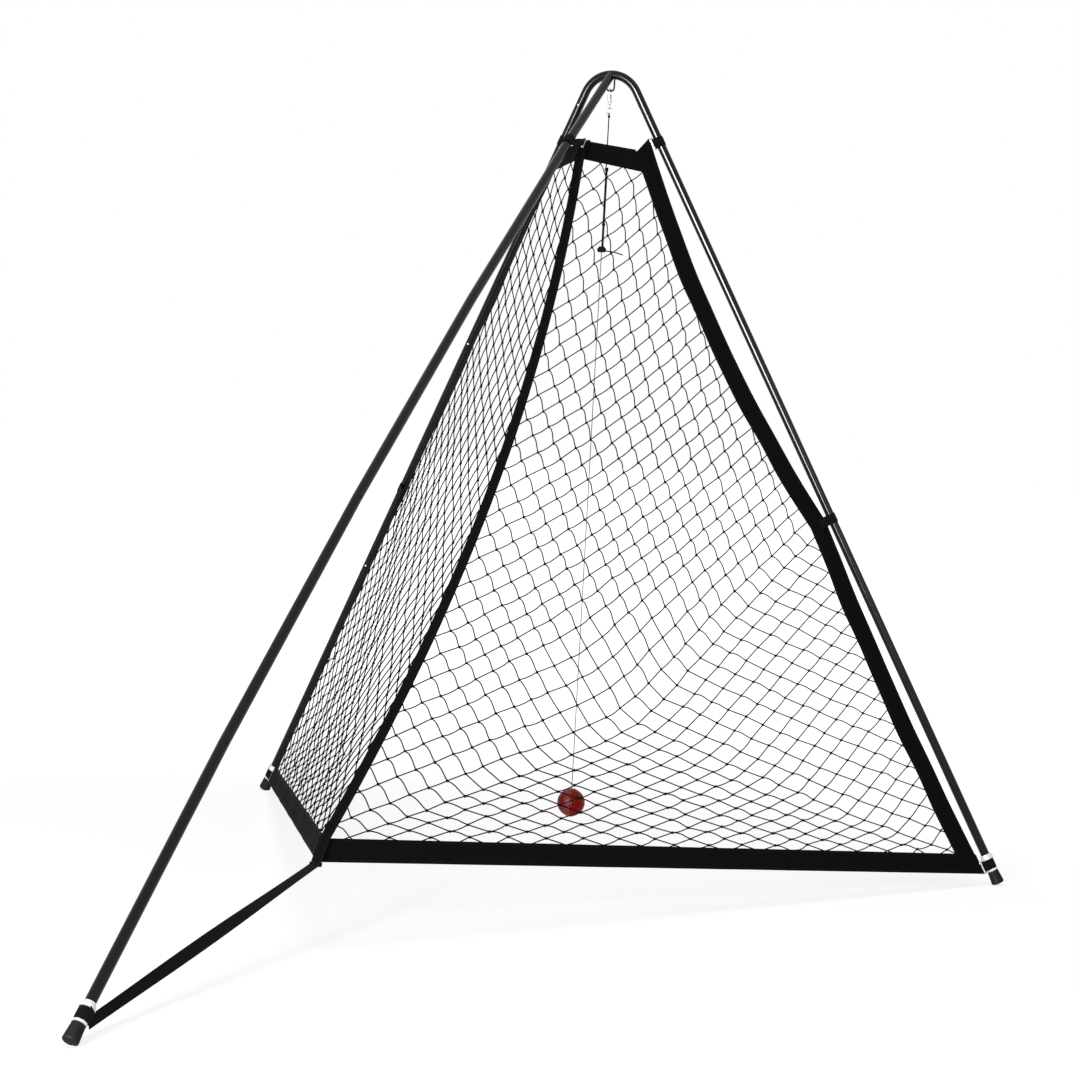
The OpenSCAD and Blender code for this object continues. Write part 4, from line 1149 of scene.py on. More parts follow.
@dataclass(frozen=True)
class Lattice:
    """A net laid out by row and line: its knots, which of them are sewn down, and the bars between them.

    A bar has two knots, a length of twine, and a group: 0 and 1 along rows, 2 and 3 down lines.
    """

    spots: Points
    fixed: Points
    bars: Points
    rest: Points
    groups: Points


@dataclass
class NetPanel:
    """One panel of knotted net, hung between the centre band and the webbing."""

    layout: Layout
    finishes: Finishes
    tools: NodeTools
    side: Side
    seed: int
    row_bar: float = 0.0532
    drop_bar: float = 0.053
    band_rows: float = 28.5
    all_rows: float = 47.5
    top_rows: float = 3.0
    top_lines: float = 2.5
    edge_lines: float = 3.2
    foot_lines: float = 15.0
    upper_slack: float = 0.004
    lower_slack: float = 0.03
    sag: float = 0.09
    sag_power: float = 1.5
    settle_passes: int = 1500
    twine_r: float = 0.0015
    knot_r: float = 0.0021
    wander: float = 0.0012
    tuck: float = 0.005
    stub: float = 0.15
    fine_steps: int = 4601
    most_row_bow: float = 0.003
    most_drop_bow: float = 0.0055
    most_edge_bow: float = 0.013
    bow_spread: tuple[float, float] = (0.6, 1.15)
    most_spread: tuple[float, float] = (0.7, 1.1)
    row_points: int = 4
    drop_points: int = 6

    def edge_point(self, row: Points) -> Points:
        """Works out where rows of bars end on the leg side.

        Args:
            row: the rows' numbers, from the top.

        Returns:
            The ends, right panel.
        """
        lay = self.layout
        upper = (row - self.top_rows) / (self.band_rows - self.top_rows)
        lower = (row - self.band_rows) / (self.all_rows - self.band_rows)
        s = np.where(row < self.band_rows,
                     lay.net_edge_top_s + (lay.mid_strap_s - lay.net_edge_top_s) * upper,
                     lay.mid_strap_s + (lay.net_edge_low_s - lay.mid_strap_s) * lower)
        d = lay.edge_out(s) + lay.webbing_w
        on_edge = lay.apex + s[:, None] * lay.leg_dir + d[:, None] * lay.d_dir
        high_d = float(lay.edge_out(lay.net_edge_top_s)) + lay.webbing_w
        high = lay.panel(lay.net_edge_top_s, high_d)
        on_top = lay.band_top + np.clip(row / self.top_rows, 0, 1)[:, None] * (high - lay.band_top)
        return np.where((row < self.top_rows)[:, None], on_top, on_edge)

    def band_point(self, row: Points) -> Points:
        """Works out where rows of bars end on the centre band or the bottom webbing.

        Args:
            row: the rows' numbers, from the top.

        Returns:
            The ends, right panel.
        """
        lay = self.layout
        low = lay.panel(lay.net_edge_low_s, float(lay.edge_out(lay.net_edge_low_s)) + lay.webbing_w)
        t = np.clip((row - self.band_rows) / (self.all_rows - self.band_rows), 0, 1)[:, None]
        on_band = lay.band_at(np.clip(row / self.band_rows, 0, 1))
        return np.where((row < self.band_rows)[:, None], on_band, lay.band_low + t * (low - lay.band_low))

    def first_line(self, row: Points) -> Points:
        """Counts the crossing lines up to the leg end of rows.

        Args:
            row: the rows' numbers, from the top.

        Returns:
            The counts, with their fractions.
        """
        top = self.edge_lines + self.top_lines * (1 - row / self.top_rows)
        side = self.edge_lines * np.clip((self.band_rows - row) / (self.band_rows - self.top_rows), 0, 1)
        low = np.clip((row - self.band_rows) / (self.all_rows - self.band_rows), 0, None) * self.foot_lines
        return np.where(row < self.top_rows, top, side + low)

    def last_line(self, row: Points) -> Points:
        """Counts the crossing lines up to the band end of rows.

        Args:
            row: the rows' numbers, from the top.

        Returns:
            The counts, with their fractions.
        """
        width = np.linalg.norm(self.band_point(row) - self.edge_point(row), axis=1)
        down = np.clip((row - self.band_rows) / (self.all_rows - self.band_rows), 0, 1)
        slack = self.upper_slack + (self.lower_slack - self.upper_slack) * down
        return self.first_line(row) + width / self.row_bar * (1 + slack)

    def lattice(self) -> Lattice:
        """Lays out the knots by row and crossing line.

        Returns:
            The knots and bars of the panel.
        """
        spots: list[tuple[float, float]] = []
        fixed: list[bool] = []
        known: dict[tuple[float, float], int] = {}
        bars: list[tuple[int, int]] = []
        counts: list[float] = []
        groups: list[int] = []
        stub = self.stub

        def knot(row: float, line: float, held: bool) -> int:
            """Finds a knot, and adds it if it is new.

            Args:
                row: its row.
                line: its crossing line.
                held: whether it is sewn down.

            Returns:
                Its number.
            """
            key = (round(row, 4), round(line, 4))
            if key not in known:
                known[key] = len(spots)
                spots.append((row, line))
                fixed.append(held)
            return known[key]

        def chain(places: list[tuple[float, float]], axis: int, group: int) -> None:
            """Adds the bars of one row or one line.

            Args:
                places: row and line of each knot along it.
                axis: 1 along a row, 0 down a line.
                group: the group of its first bar.
            """
            ids = [knot(*p, k in (0, len(places) - 1)) for k, p in enumerate(places)]
            for k in range(len(ids) - 1):
                bars.append((ids[k], ids[k + 1]))
                counts.append(abs(places[k + 1][axis] - places[k][axis]))
                groups.append(group + k % 2)

        for row in range(int(self.all_rows) + 1):
            one = np.array([float(row)])
            low = float(self.first_line(one)[0])
            high = float(self.last_line(one)[0])
            if high - low < 2 * stub:
                continue
            inner = range(math.ceil(low + stub), math.floor(high - stub) + 1)
            chain([(row, low), *[(row, float(j)) for j in inner], (row, high)], 1, 0)
        fine = np.linspace(0, self.all_rows, self.fine_steps)
        low_all = self.first_line(fine)
        high_all = self.last_line(fine)
        for line in range(1, int(high_all.max()) + 1):
            inside = fine[(low_all <= line) & (high_all >= line)]
            if len(inside) < 2:
                continue
            first, last = float(inside[0]), float(inside[-1])
            between = range(math.ceil(first + stub), math.floor(last - stub) + 1)
            inner = [(float(i), float(line)) for i in between if (float(i), float(line)) in known]
            chain([(first, float(line)), *inner, (last, float(line))], 0, 2)
        group_of = np.array(groups)
        rest = np.array(counts) * np.where(group_of < 2, self.row_bar, self.drop_bar)
        return Lattice(np.array(spots), np.array(fixed), np.array(bars), rest, group_of)

    def hang(self, net: Lattice) -> Points:
        """Hangs the knots and draws in every bar that is longer than its twine.

        Args:
            net: the knots and bars.

        Returns:
            The places of the knots, right panel, in metres.
        """
        least_span = 1e-6
        row, line = net.spots[:, 0], net.spots[:, 1]
        first = self.first_line(row)
        span = np.maximum(self.last_line(row) - first, least_span)
        t = np.clip((line - first) / span, 0, 1)
        places = self.edge_point(row) + t[:, None] * (self.band_point(row) - self.edge_point(row))
        upper = np.clip(row / self.band_rows, 0, 1) ** self.sag_power
        down = np.clip((row - self.band_rows) / (self.all_rows - self.band_rows), 0, 1)
        places[:, 2] -= self.sag * upper * (1 - down ** self.sag_power) * 4 * t * (1 - t)
        loose = (~net.fixed).astype(float)
        sets = [np.flatnonzero(net.groups == group) for group in np.unique(net.groups)]
        for _ in range(self.settle_passes):
            for chosen in sets:
                a, b = net.bars[chosen, 0], net.bars[chosen, 1]
                gap = places[b] - places[a]
                length = np.linalg.norm(gap, axis=1)
                over = np.maximum(length - net.rest[chosen], 0) / np.maximum(length, TINY)
                share = over / np.maximum(loose[a] + loose[b], TINY)
                places[a] += (loose[a] * share)[:, None] * gap
                places[b] -= (loose[b] * share)[:, None] * gap
        wander = np.random.default_rng(self.seed).normal(0, self.wander, places.shape)
        return places + loose[:, None] * wander

    def twine_lines(self, net: Lattice, places: Points) -> bpy.types.Mesh:
        """Draws the twine of every bar, bowed where it is slack, and marks the crossings.

        Args:
            net: the knots and bars.
            places: the places of the knots.

        Returns:
            A mesh of lines, and of one loose point at each crossing.
        """
        chance = np.random.default_rng(self.seed + 1)
        # The curve t (1 - t) (1 - t) is 4/27 high, and 4 t (1 - t) is 1 high
        lean_to_one = 27 / 4
        rows = net.spots[:, 0]
        to_leg = self.edge_point(rows) - self.band_point(rows)
        to_leg /= np.maximum(np.linalg.norm(to_leg, axis=1), TINY)[:, None]
        points: list[Points] = []
        edges: list[tuple[int, int]] = []
        for (a, b), full, group in zip(net.bars, net.rest, net.groups):
            start, end = places[a].copy(), places[b].copy()
            length = np.linalg.norm(end - start)
            way = (end - start) / max(length, TINY)
            if net.fixed[a]:
                start -= self.tuck * way
            if net.fixed[b]:
                end += self.tuck * way
            slack = max(full / max(length, TINY) - 1, 0.0)
            # A shallow arc that is longer than its chord by a share rises by the root of 3/8 of that share
            bow = length * math.sqrt(3 / 8 * slack) * chance.uniform(*self.bow_spread)
            lower_edge = (net.fixed[a] or net.fixed[b]) and max(rows[a], rows[b]) > self.band_rows
            if lower_edge:
                most = self.most_edge_bow
            else:
                most = self.most_row_bow if group < 2 else self.most_drop_bow
            bow = min(bow, most * chance.uniform(*self.most_spread))
            if group < 2:
                t = np.linspace(0, 1, self.row_points)[:, None]
                lift = -bow * 4 * t * (1 - t) * UP
            else:
                t = np.linspace(0, 1, self.drop_points)[:, None]
                lift = bow * lean_to_one * t * (1 - t) ** 2 * to_leg[a]
            line = start + t * (end - start) + lift
            begin = len(points)
            points += list(line)
            edges += [(k, k + 1) for k in range(begin, len(points) - 1)]
        crossings = places[~net.fixed]
        mark = np.zeros(len(points) + len(crossings), bool)
        mark[len(points):] = True
        mesh = bpy.data.meshes.new("net_lines")
        mesh.from_pydata((np.concatenate([points, crossings]) * self.side.mirror).tolist(), edges, [])
        crossing = mesh.attributes.new("crossing", "BOOLEAN", "POINT")
        crossing.data.foreach_set("value", mark)
        return mesh

    def build(self) -> None:
        """Builds the panel and puts it in place of its plain solid."""
        net = self.lattice()
        lines = self.twine_lines(net, self.hang(net))
        word = self.side.word
        sizes = {"Twine radius": self.twine_r, "Knot radius": self.knot_r, "Seed": self.seed,
                 "Material": self.finishes.get(Finishes.TWINE)}
        obj = self.tools.run(f"{word}_knotted_net", lines, self.tools.twine_tree(), sizes)
        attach(obj, "frame")
        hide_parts(f"{word}_net")
        log.info("%s: %d knots, %d bars", obj.name, len(net.spots), len(net.bars))


@dataclass
class Webbing:
    """Flat webbing round the net: two sides, two bottoms, two tops and the centre band."""

    layout: Layout
    finishes: Finishes
    tools: NodeTools
    step: float = 0.012
    across: int = 9
    ripple: float = 0.0018
    ripple_run: float = 0.31
    side_phase: float = 0.7
    bottom_phase: float = 1.9
    outer_calm: float = 0.4
    strap_pull: float = 0.05
    strap_pucker: float = 0.004
    top_belly: float = 0.003
    band_points: int = 140
    band_end_points: int = 7
    stitch_seed: int = 11
    seam_in: float = 0.005
    corner_cut: float = 0.024
    bottom_calm: float = 0.35
    pitch: float = 0.0065
    stitch: float = 0.0048
    thread_r: float = 0.00045
    rows: dict[Side, list[Points]] = field(default_factory=lambda: {side: [] for side in Side})

    def waves(self, travel: Points, phase: float) -> Points:
        """Works out the soft ripple of a hanging strip, a long wave with a shorter one over it.

        Args:
            travel: distances along the strip.
            phase: where in the wave the strip begins.

        Returns:
            How far the strip stands out.
        """
        shorter = 1.7
        turn = 2 * np.pi * travel / self.ripple_run
        return self.ripple * (np.sin(turn + phase) + np.sin(shorter * turn + 2 * phase) / 2)

    def add_rows(self, rails: Points, normals: Points, thickness: float, side: Side) -> None:
        """Keeps the two seam rows of a strip, on both of its faces.

        Args:
            rails: the strip's grid of points.
            normals: its normals.
            thickness: its thickness.
            side: which side's stitches the rows belong to.
        """
        wide = np.linalg.norm(rails[:, -1] - rails[:, 0], axis=1)[:, None]
        part = self.seam_in / wide
        for share in (part, 1 - part):
            line = rails[:, 0] + share * (rails[:, -1] - rails[:, 0])
            for face in (-0.5, 0.5):
                self.rows[side].append(line + face * thickness * normals[:, 0])

    def finish(self, name: str, rails: Points, normals: Points, thickness: float, side: Side, node: str,
               rests_on: list[str]) -> None:
        """Args:
            name: the piece's name.
            rails: its grid of points.
            normals: its normals.
            thickness: its thickness.
            side: its side; the centre band counts as right.
            node: the plain solid that it stands for.
            rests_on: what holds it; not used.
        """
        obj = cloth_strip(name, rails, normals, thickness)
        dress(obj, self.finishes.get(Finishes.WEBBING))
        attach(obj, "frame")
        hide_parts(node)
        self.add_rows(rails, normals, thickness, side)

    def side_strip(self, side: Side) -> None:
        """Builds the webbing beside one leg, drawn in where the middle strap holds it.

        Args:
            side: the leg's side.
        """
        lay = self.layout
        low_out = lay.edge_meets(0.0, lay.bottom_w + lay.seat)
        low_in = lay.edge_meets(lay.webbing_w, lay.bottom_w + lay.seat)
        count = int((low_out - lay.edge_top_s) / self.step)
        v = np.linspace(0, 1, count)[:, None]
        u = np.linspace(0, 1, self.across)[None, :]
        s_out = lay.edge_top_s + v * (low_out - lay.edge_top_s)
        top_in = lay.edge_top_s + self.corner_cut
        s_in = top_in + v * (low_in - top_in)
        s = s_out + u * (s_in - s_out)
        d = lay.edge_out(s) + u * lay.webbing_w
        held = np.exp(-((s - lay.mid_strap_s) / self.strap_pull) ** 2)
        lift = self.waves(s - lay.edge_top_s, self.side_phase * side.value)
        lift = lift * (self.outer_calm + (1 - self.outer_calm) * u)
        lift = lift + self.strap_pucker * held * np.sin(3 * np.pi * u)
        flat = lay.apex + s[..., None] * lay.leg_dir + d[..., None] * lay.d_dir
        rails = flat + lift[..., None] * lay.panel_in
        self.finish(f"{side.word}_side_webbing", *self.sided(rails, lay.panel_in, side), lay.webbing_t, side,
                    f"{side.word}_edge_webbing", ["strap_rings", f"{side.word}_middle_pole"])

    def sided(self, rails: Points, normal: Points, side: Side) -> tuple[Points, Points]:
        """Returns a right strip's points and normals, mirrored for the left side."""
        return rails * side.mirror, np.broadcast_to(normal * side.mirror, rails.shape)

    def bottom_strip(self, side: Side) -> None:
        """Builds the webbing from one leg's foot ring to the low corner.

        Args:
            side: the leg's side.
        """
        lay = self.layout
        end_x = lay.seat / 2 + lay.webbing_t / 2 * abs(lay.panel_in[0])
        rise = np.linspace(0, lay.bottom_w, self.across)
        step = lay.bottom_dir[0] * lay.d_dir + lay.bottom_dir[1] * lay.leg_dir
        starts, ends = [], []
        for height in rise:
            start = np.array([lay.edge_foot_d, lay.bottom_line(lay.edge_foot_d, height)])
            point = lay.panel(start[1], start[0])
            starts.append(point)
            ends.append(point + (end_x - point[0]) / step[0] * step)
        starts, ends = np.array(starts), np.array(ends)
        count = int(np.linalg.norm(ends[0] - starts[0]) / self.step)
        v = np.linspace(0, 1, count)[:, None, None]
        rails = starts[None] + v * (ends - starts)[None]
        travel = v * np.linalg.norm(ends[0] - starts[0])
        waves = self.waves(travel, self.bottom_phase * side.value)
        lift = self.bottom_calm * waves * np.sin(np.pi * v)
        rails = rails + lift * lay.panel_in
        self.finish(f"{side.word}_bottom_strip", *self.sided(rails, lay.panel_in, side), lay.webbing_t, side,
                    f"{side.word}_bottom_webbing", ["strap_rings", "corner_fold"])

    def top_strip(self, side: Side) -> None:
        """Builds the short webbing across the top of one panel.

        Args:
            side: the panel's side.
        """
        lay = self.layout
        end_x = lay.seat / 2 + lay.webbing_t / 2 * abs(lay.panel_in[0])
        high_s = lay.top_strap_s + lay.seat
        low_s = lay.net_edge_top_s - lay.seat
        edge = [lay.panel(s, float(lay.edge_out(s)) + lay.webbing_w + lay.seat) for s in (high_s, low_s)]
        falls = (lay.top_webbing_fall, lay.net_top_fall - lay.seat)
        band = [lay.crown + fall * lay.fall_dir + end_x * ACROSS for fall in falls]
        u = np.linspace(0, 1, self.across)[None, :, None]
        count = int(np.linalg.norm(edge[0] - band[0]) / self.step) + 2
        v = np.linspace(0, 1, count)[:, None, None]
        start = edge[0] + u * (edge[1] - edge[0])
        end = band[0] + u * (band[1] - band[0])
        rails = start + v * (end - start)
        rails = rails + self.top_belly * np.sin(np.pi * v) * np.sin(np.pi * u) * lay.panel_in
        self.finish(f"{side.word}_top_strip", *self.sided(rails, lay.panel_in, side), lay.webbing_t, side,
                    f"{side.word}_top_webbing", [f"{side.word}_top_strap", "stay_top_strap"])

    def centre_strip(self) -> None:
        """Builds the centre band in front of the line where the panels meet."""
        lay = self.layout
        curve = lay.band_at(np.linspace(0, 1, self.band_points))
        high = lay.crown + lay.top_webbing_fall * lay.fall_dir
        above = np.linspace(high, lay.band_top, self.band_end_points)[:-1]
        below = np.linspace(lay.band_low, lay.corner, self.band_end_points)[1:]
        line = np.concatenate([above, curve, below])
        way = np.gradient(line, axis=0)
        way /= np.linalg.norm(way, axis=1)[:, None]
        inward = np.stack([np.zeros(len(way)), -way[:, 2], way[:, 1]], axis=1)
        line = line - lay.band_front * inward
        u = np.linspace(-0.5, 0.5, self.across)
        rails = line[:, None, :] + (lay.strap_w * u)[None, :, None] * ACROSS
        normals = np.broadcast_to(inward[:, None, :], rails.shape)
        self.finish("centre_band", rails, normals, lay.band_t, Side.RIGHT, "centre_webbing",
                    ["stay_top_strap", "corner_fold"])

    def build(self) -> None:
        """Builds all the webbing and its stitches."""
        for side in Side:
            self.side_strip(side)
            self.bottom_strip(side)
            self.top_strip(side)
        self.centre_strip()
        for side in Side:
            obj = self.tools.stitch(f"{side.word}_webbing_stitches", self.rows[side], Finishes.SEWING,
                                    self.pitch, self.stitch, self.thread_r, self.stitch_seed + side.value)
            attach(obj, "frame")
            log.info("%s sewn", obj.name)


@dataclass
class Straps:
    """Hook-and-loop straps, the cuff on the stay, the ground strap and the folded corner."""

    layout: Layout
    finishes: Finishes
    across: int = 5
    lap: float = 0.32
    lap_climb: float = 0.07
    tip_lift: float = 0.0012
    tip_len: float = 0.008
    step: float = 0.0015
    pole_points: int = 40
    ring_points: int = 16
    sewn_share: float = 0.6
    cuff_laps: float = 1.3
    cuff_climb: float = 0.1
    cuff_tail: float = 0.016
    cuff_tail_lift: float = 0.002
    corner_turns: float = 1.75

    def loop(self, first: Points, first_axis: Points, first_r: float, second: Points, second_axis: Points,
             second_r: float) -> tuple[Points, Points, Points]:
        """Returns a closed belt round two bars.

        Args:
            first: a point on the first bar's axis.
            first_axis: the first bar's direction.
            first_r: radius of the belt's middle there.
            second: a point on the second bar's axis.
            second_axis: the second bar's direction.
            second_r: radius of the belt's middle there.

        Returns:
            Points, outward normals and width directions along the belt.
        """
        gap = second - first
        touch = math.acos((first_r - second_r) / np.linalg.norm(gap))
        points, normals, widths = [], [], []
        for middle, axis, radius, angles in (
            (first, first_axis, first_r, np.linspace(touch, 2 * np.pi - touch, self.pole_points)),
            (second, second_axis, second_r, np.linspace(-touch, touch, self.ring_points)),
        ):
            x = unit(gap - (gap @ axis) * axis)
            y = np.cross(axis, x)
            for angle in angles:
                out = math.cos(angle) * x + math.sin(angle) * y
                points.append(middle + radius * out)
                normals.append(out)
                widths.append(axis)
        points.append(points[0])
        normals.append(normals[0])
        widths.append(widths[0])
        return np.array(points), np.array(normals), np.array(widths)

    def lapped(self, points: Points, normals: Points, widths: Points) -> tuple[Points, Points, Points]:
        """Runs a belt on past its start, one thickness further out, with its tip a little raised.

        Args:
            points: the closed belt.
            normals: its outward normals.
            widths: its width directions.

        Returns:
            The open, lapped belt: points, normals and widths.
        """
        lay = self.layout
        travel = np.concatenate([[0], np.cumsum(np.linalg.norm(np.diff(points, axis=0), axis=1))])
        full = travel[-1]
        run = np.arange(0, full * (1 + self.lap), self.step)
        wrapped = run % full
        spots = np.stack([np.interp(wrapped, travel, points[:, k]) for k in range(3)], axis=1)
        outs = np.stack([np.interp(wrapped, travel, normals[:, k]) for k in range(3)], axis=1)
        outs /= np.linalg.norm(outs, axis=1)[:, None]
        wide = np.stack([np.interp(wrapped, travel, widths[:, k]) for k in range(3)], axis=1)
        climb_from = (1 - self.lap_climb) * full
        climb = smooth_step((run - climb_from) / (self.lap_climb * full)) * (lay.strap_t + lay.seat / 2)
        tip = smooth_step((run - run[-1] + self.tip_len) / self.tip_len) * self.tip_lift
        return spots + (climb + tip)[:, None] * outs, outs, wide

    def tape(self, name: str, points: Points, normals: Points, widths: Points, width: float | Points,
             node: str, rests_on: list[str], held: str = "folded") -> None:
        """Args:
            name: the piece's name.
            points: the path of its middle.
            normals: the tape's normals.
            widths: its width directions.
            width: its width.
            node: the plain solid that it stands for.
            rests_on: what it holds on to; not used.
            held: how the cloth is held; not used.
        """
        u = np.linspace(-0.5, 0.5, self.across)
        reach = (np.broadcast_to(width, (len(points),))[:, None] * u[None, :])[..., None]
        rails = points[:, None, :] + reach * widths[:, None, :]
        grid = np.broadcast_to(normals[:, None, :], rails.shape)
        obj = cloth_strip(name, rails, grid, self.layout.strap_t)
        dress(obj, self.finishes.get(Finishes.STRAP))
        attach(obj, "frame")
        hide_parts(node)

    def leg_loops(self, side: Side) -> None:
        """Builds the top and foot straps of one leg.

        Args:
            side: the leg's side.
        """
        lay = self.layout
        word = side.word
        half_t = lay.strap_t / 2
        for kind, s, ring_d, radius, on in (
            ("top", lay.top_strap_s, lay.top_ring_d, lay.tube_r, f"{word}_upper_pole"),
            ("foot", lay.foot_strap_s, lay.foot_ring_d, lay.waist_r, f"{word}_spool"),
        ):
            belt = self.loop(lay.leg_at(s), lay.leg_dir, radius + lay.seat + half_t, lay.panel(s, ring_d),
                             lay.leg_dir, lay.ring_slot_r + half_t)
            path = [part * side.mirror for part in self.lapped(*belt)]
            self.tape(f"{word}_{kind}_strap_tape", *path, lay.strap_w, f"{word}_{kind}_strap",
                      [on, "strap_rings"])

    def middle_strap(self, side: Side) -> None:
        """Builds the strap that is sewn to both faces of the side webbing and goes round the leg.

        Args:
            side: the leg's side.
        """
        lay = self.layout
        word = side.word
        far = lay.edge_mid_d + self.sewn_share * lay.webbing_w
        radius = lay.tube_r + lay.seat + lay.strap_t / 2
        off = lay.webbing_t / 2 + lay.seat + lay.strap_t / 2
        belt = self.loop(lay.leg_at(lay.mid_strap_s), lay.leg_dir, radius,
                         lay.panel(lay.mid_strap_s, far), lay.leg_dir, off)
        points, normals, widths = (part[:-1] for part in belt)
        # The belt is open over the second quarter of its far bend, so that its two ends don't meet
        opens = self.pole_points + self.ring_points // 4
        goes_on = self.pole_points + self.ring_points // 2
        order = np.concatenate([np.arange(goes_on, len(points)), np.arange(0, opens)])
        path = [part * side.mirror for part in self.refined(points[order], normals[order], widths[order])]
        self.tape(f"{word}_middle_strap_tape", *path, lay.strap_w, f"{word}_middle_strap",
                  [f"{word}_middle_pole", f"{word}_side_webbing"])

    def refined(self, points: Points, normals: Points, widths: Points) -> tuple[Points, Points, Points]:
        """Spaces a strap's path evenly.

        Args:
            points: the path of its middle.
            normals: its normals.
            widths: its width directions.

        Returns:
            The same three, at even steps.
        """
        travel = np.concatenate([[0], np.cumsum(np.linalg.norm(np.diff(points, axis=0), axis=1))])
        run = np.arange(0, travel[-1], self.step)
        even = [np.stack([np.interp(run, travel, part[:, k]) for k in range(3)], axis=1)
                for part in (points, normals, widths)]
        even[1] /= np.linalg.norm(even[1], axis=1)[:, None]
        return even[0], even[1], even[2]

    def stay_top(self) -> None:
        """Builds the strap from the ring on the centre band round the stay pole."""
        lay = self.layout
        pole_dir = unit(lay.stay_at(lay.stub_len + lay.stay_section) - lay.stay_at(lay.stub_len))
        pole = lay.stay_at(lay.stub_len) + lay.stay_strap_below * pole_dir
        fall = lay.top_webbing_fall + lay.ring_long / 2 + lay.ring_inset
        front = -lay.fall_in
        off = lay.band_front + lay.band_t / 2 + lay.seat + lay.wire_r + lay.ring_wide
        ring = lay.crown + fall * lay.fall_dir + off * front
        half_t = lay.strap_t / 2
        belt = self.loop(pole, pole_dir, lay.tube_r + lay.seat + half_t, ring, lay.fall_dir,
                         lay.ring_slot_r + lay.seat + half_t)
        points, normals, widths = self.lapped(*belt)
        away = np.linalg.norm(points - ring, axis=1)
        gather = lay.gathered_by * (1 - smooth_step((away - 2 * lay.wire_r) / lay.strap_w))
        self.tape("stay_top_strap_tape", points, normals, widths, lay.strap_w - gather, "stay_top_strap",
                  ["stay_high_pole", "strap_rings"])

    def cuff(self) -> None:
        """Builds the cuff on the stay's spool, with its loose end standing off at the side."""
        lay = self.layout
        axis = lay.stay_last_dir
        x = unit(np.cross(ACROSS, axis))
        y = np.cross(axis, x)
        radius = lay.waist_r + lay.seat + lay.strap_t / 2
        count = 90
        tail_count = 12
        full = 2 * np.pi
        angles = np.linspace(0, full * self.cuff_laps, count)
        climb_from = (1 - self.cuff_climb) * full
        climb = smooth_step((angles - climb_from) / (self.cuff_climb * full)) * (lay.strap_t + lay.seat / 2)
        turn = np.pi / 2 - angles[-1]
        outs = np.cos(angles + turn)[:, None] * x + np.sin(angles + turn)[:, None] * y
        points = lay.cuff_mid + (radius + climb)[:, None] * outs
        leave = np.cross(axis, outs[-1])
        tail = np.linspace(0, 1, tail_count)[1:, None]
        loose = tail * self.cuff_tail * leave + self.cuff_tail_lift * tail ** 2 * outs[-1]
        points = np.concatenate([points, points[-1] + loose])
        outs = np.concatenate([outs, np.repeat(outs[-1:], len(tail), axis=0)])
        widths = np.repeat(axis[None], len(points), axis=0)
        self.tape("stay_cuff_tape", points, outs, widths, lay.strap_w, "stay_foot_strap", ["stay_spool"])

    def fold_middle(self) -> Points:
        """Returns the middle of the rolled corner."""
        lay = self.layout
        return lay.corner + (lay.fold_r + lay.seat) * lay.fall_dir - lay.band_front * lay.fall_in

    def ground_strap(self) -> None:
        """Builds the strap from the folded corner to the cuff, turned a quarter on the way."""
        lay = self.layout
        count = 90
        fold = self.fold_middle()
        way = unit(lay.cuff_mid - fold)
        start = fold + (lay.fold_r + lay.seat) * way
        cuff_r = lay.waist_r + lay.seat + lay.strap_t
        out = unit(-way + (way @ lay.stay_last_dir) * lay.stay_last_dir)
        lead = lay.strap_w / 2 * abs(out @ np.cross(ACROSS, way))
        end = lay.cuff_mid + (cuff_r + lay.seat + lead) * out
        t = np.linspace(0, 1, count)
        run = unit(end - start)
        side = np.cross(ACROSS, run)
        turn = np.pi / 2 * smooth_step(t)
        widths = np.cos(turn)[:, None] * ACROSS + np.sin(turn)[:, None] * side
        normals = np.cross(run, widths)
        points = start + t[:, None] * (end - start)
        self.tape("ground_strap_tape", points, normals, widths, lay.strap_w, "ground_strap",
                  ["corner_fold", "stay_cuff_tape"], "stretched")

    def corner(self) -> None:
        """Rolls the folded low corner of the centre band."""
        lay = self.layout
        count = 80
        angle = np.linspace(0, 2 * np.pi * self.corner_turns, count)
        radius = lay.fold_r - lay.strap_t / 2 - (lay.strap_t + lay.seat) * angle / (2 * np.pi)
        outs = np.cos(angle)[:, None] * -lay.fall_dir + np.sin(angle)[:, None] * lay.fall_in
        points = self.fold_middle() + radius[:, None] * outs
        widths = np.repeat(ACROSS[None], len(points), axis=0)
        self.tape("rolled_corner", points, outs, widths, lay.strap_w, "corner_fold", ["centre_band"])

    def build(self) -> None:
        """Builds all the straps."""
        for side in Side:
            self.leg_loops(side)
            self.middle_strap(side)
        self.stay_top()
        self.cuff()
        self.ground_strap()
        self.corner()


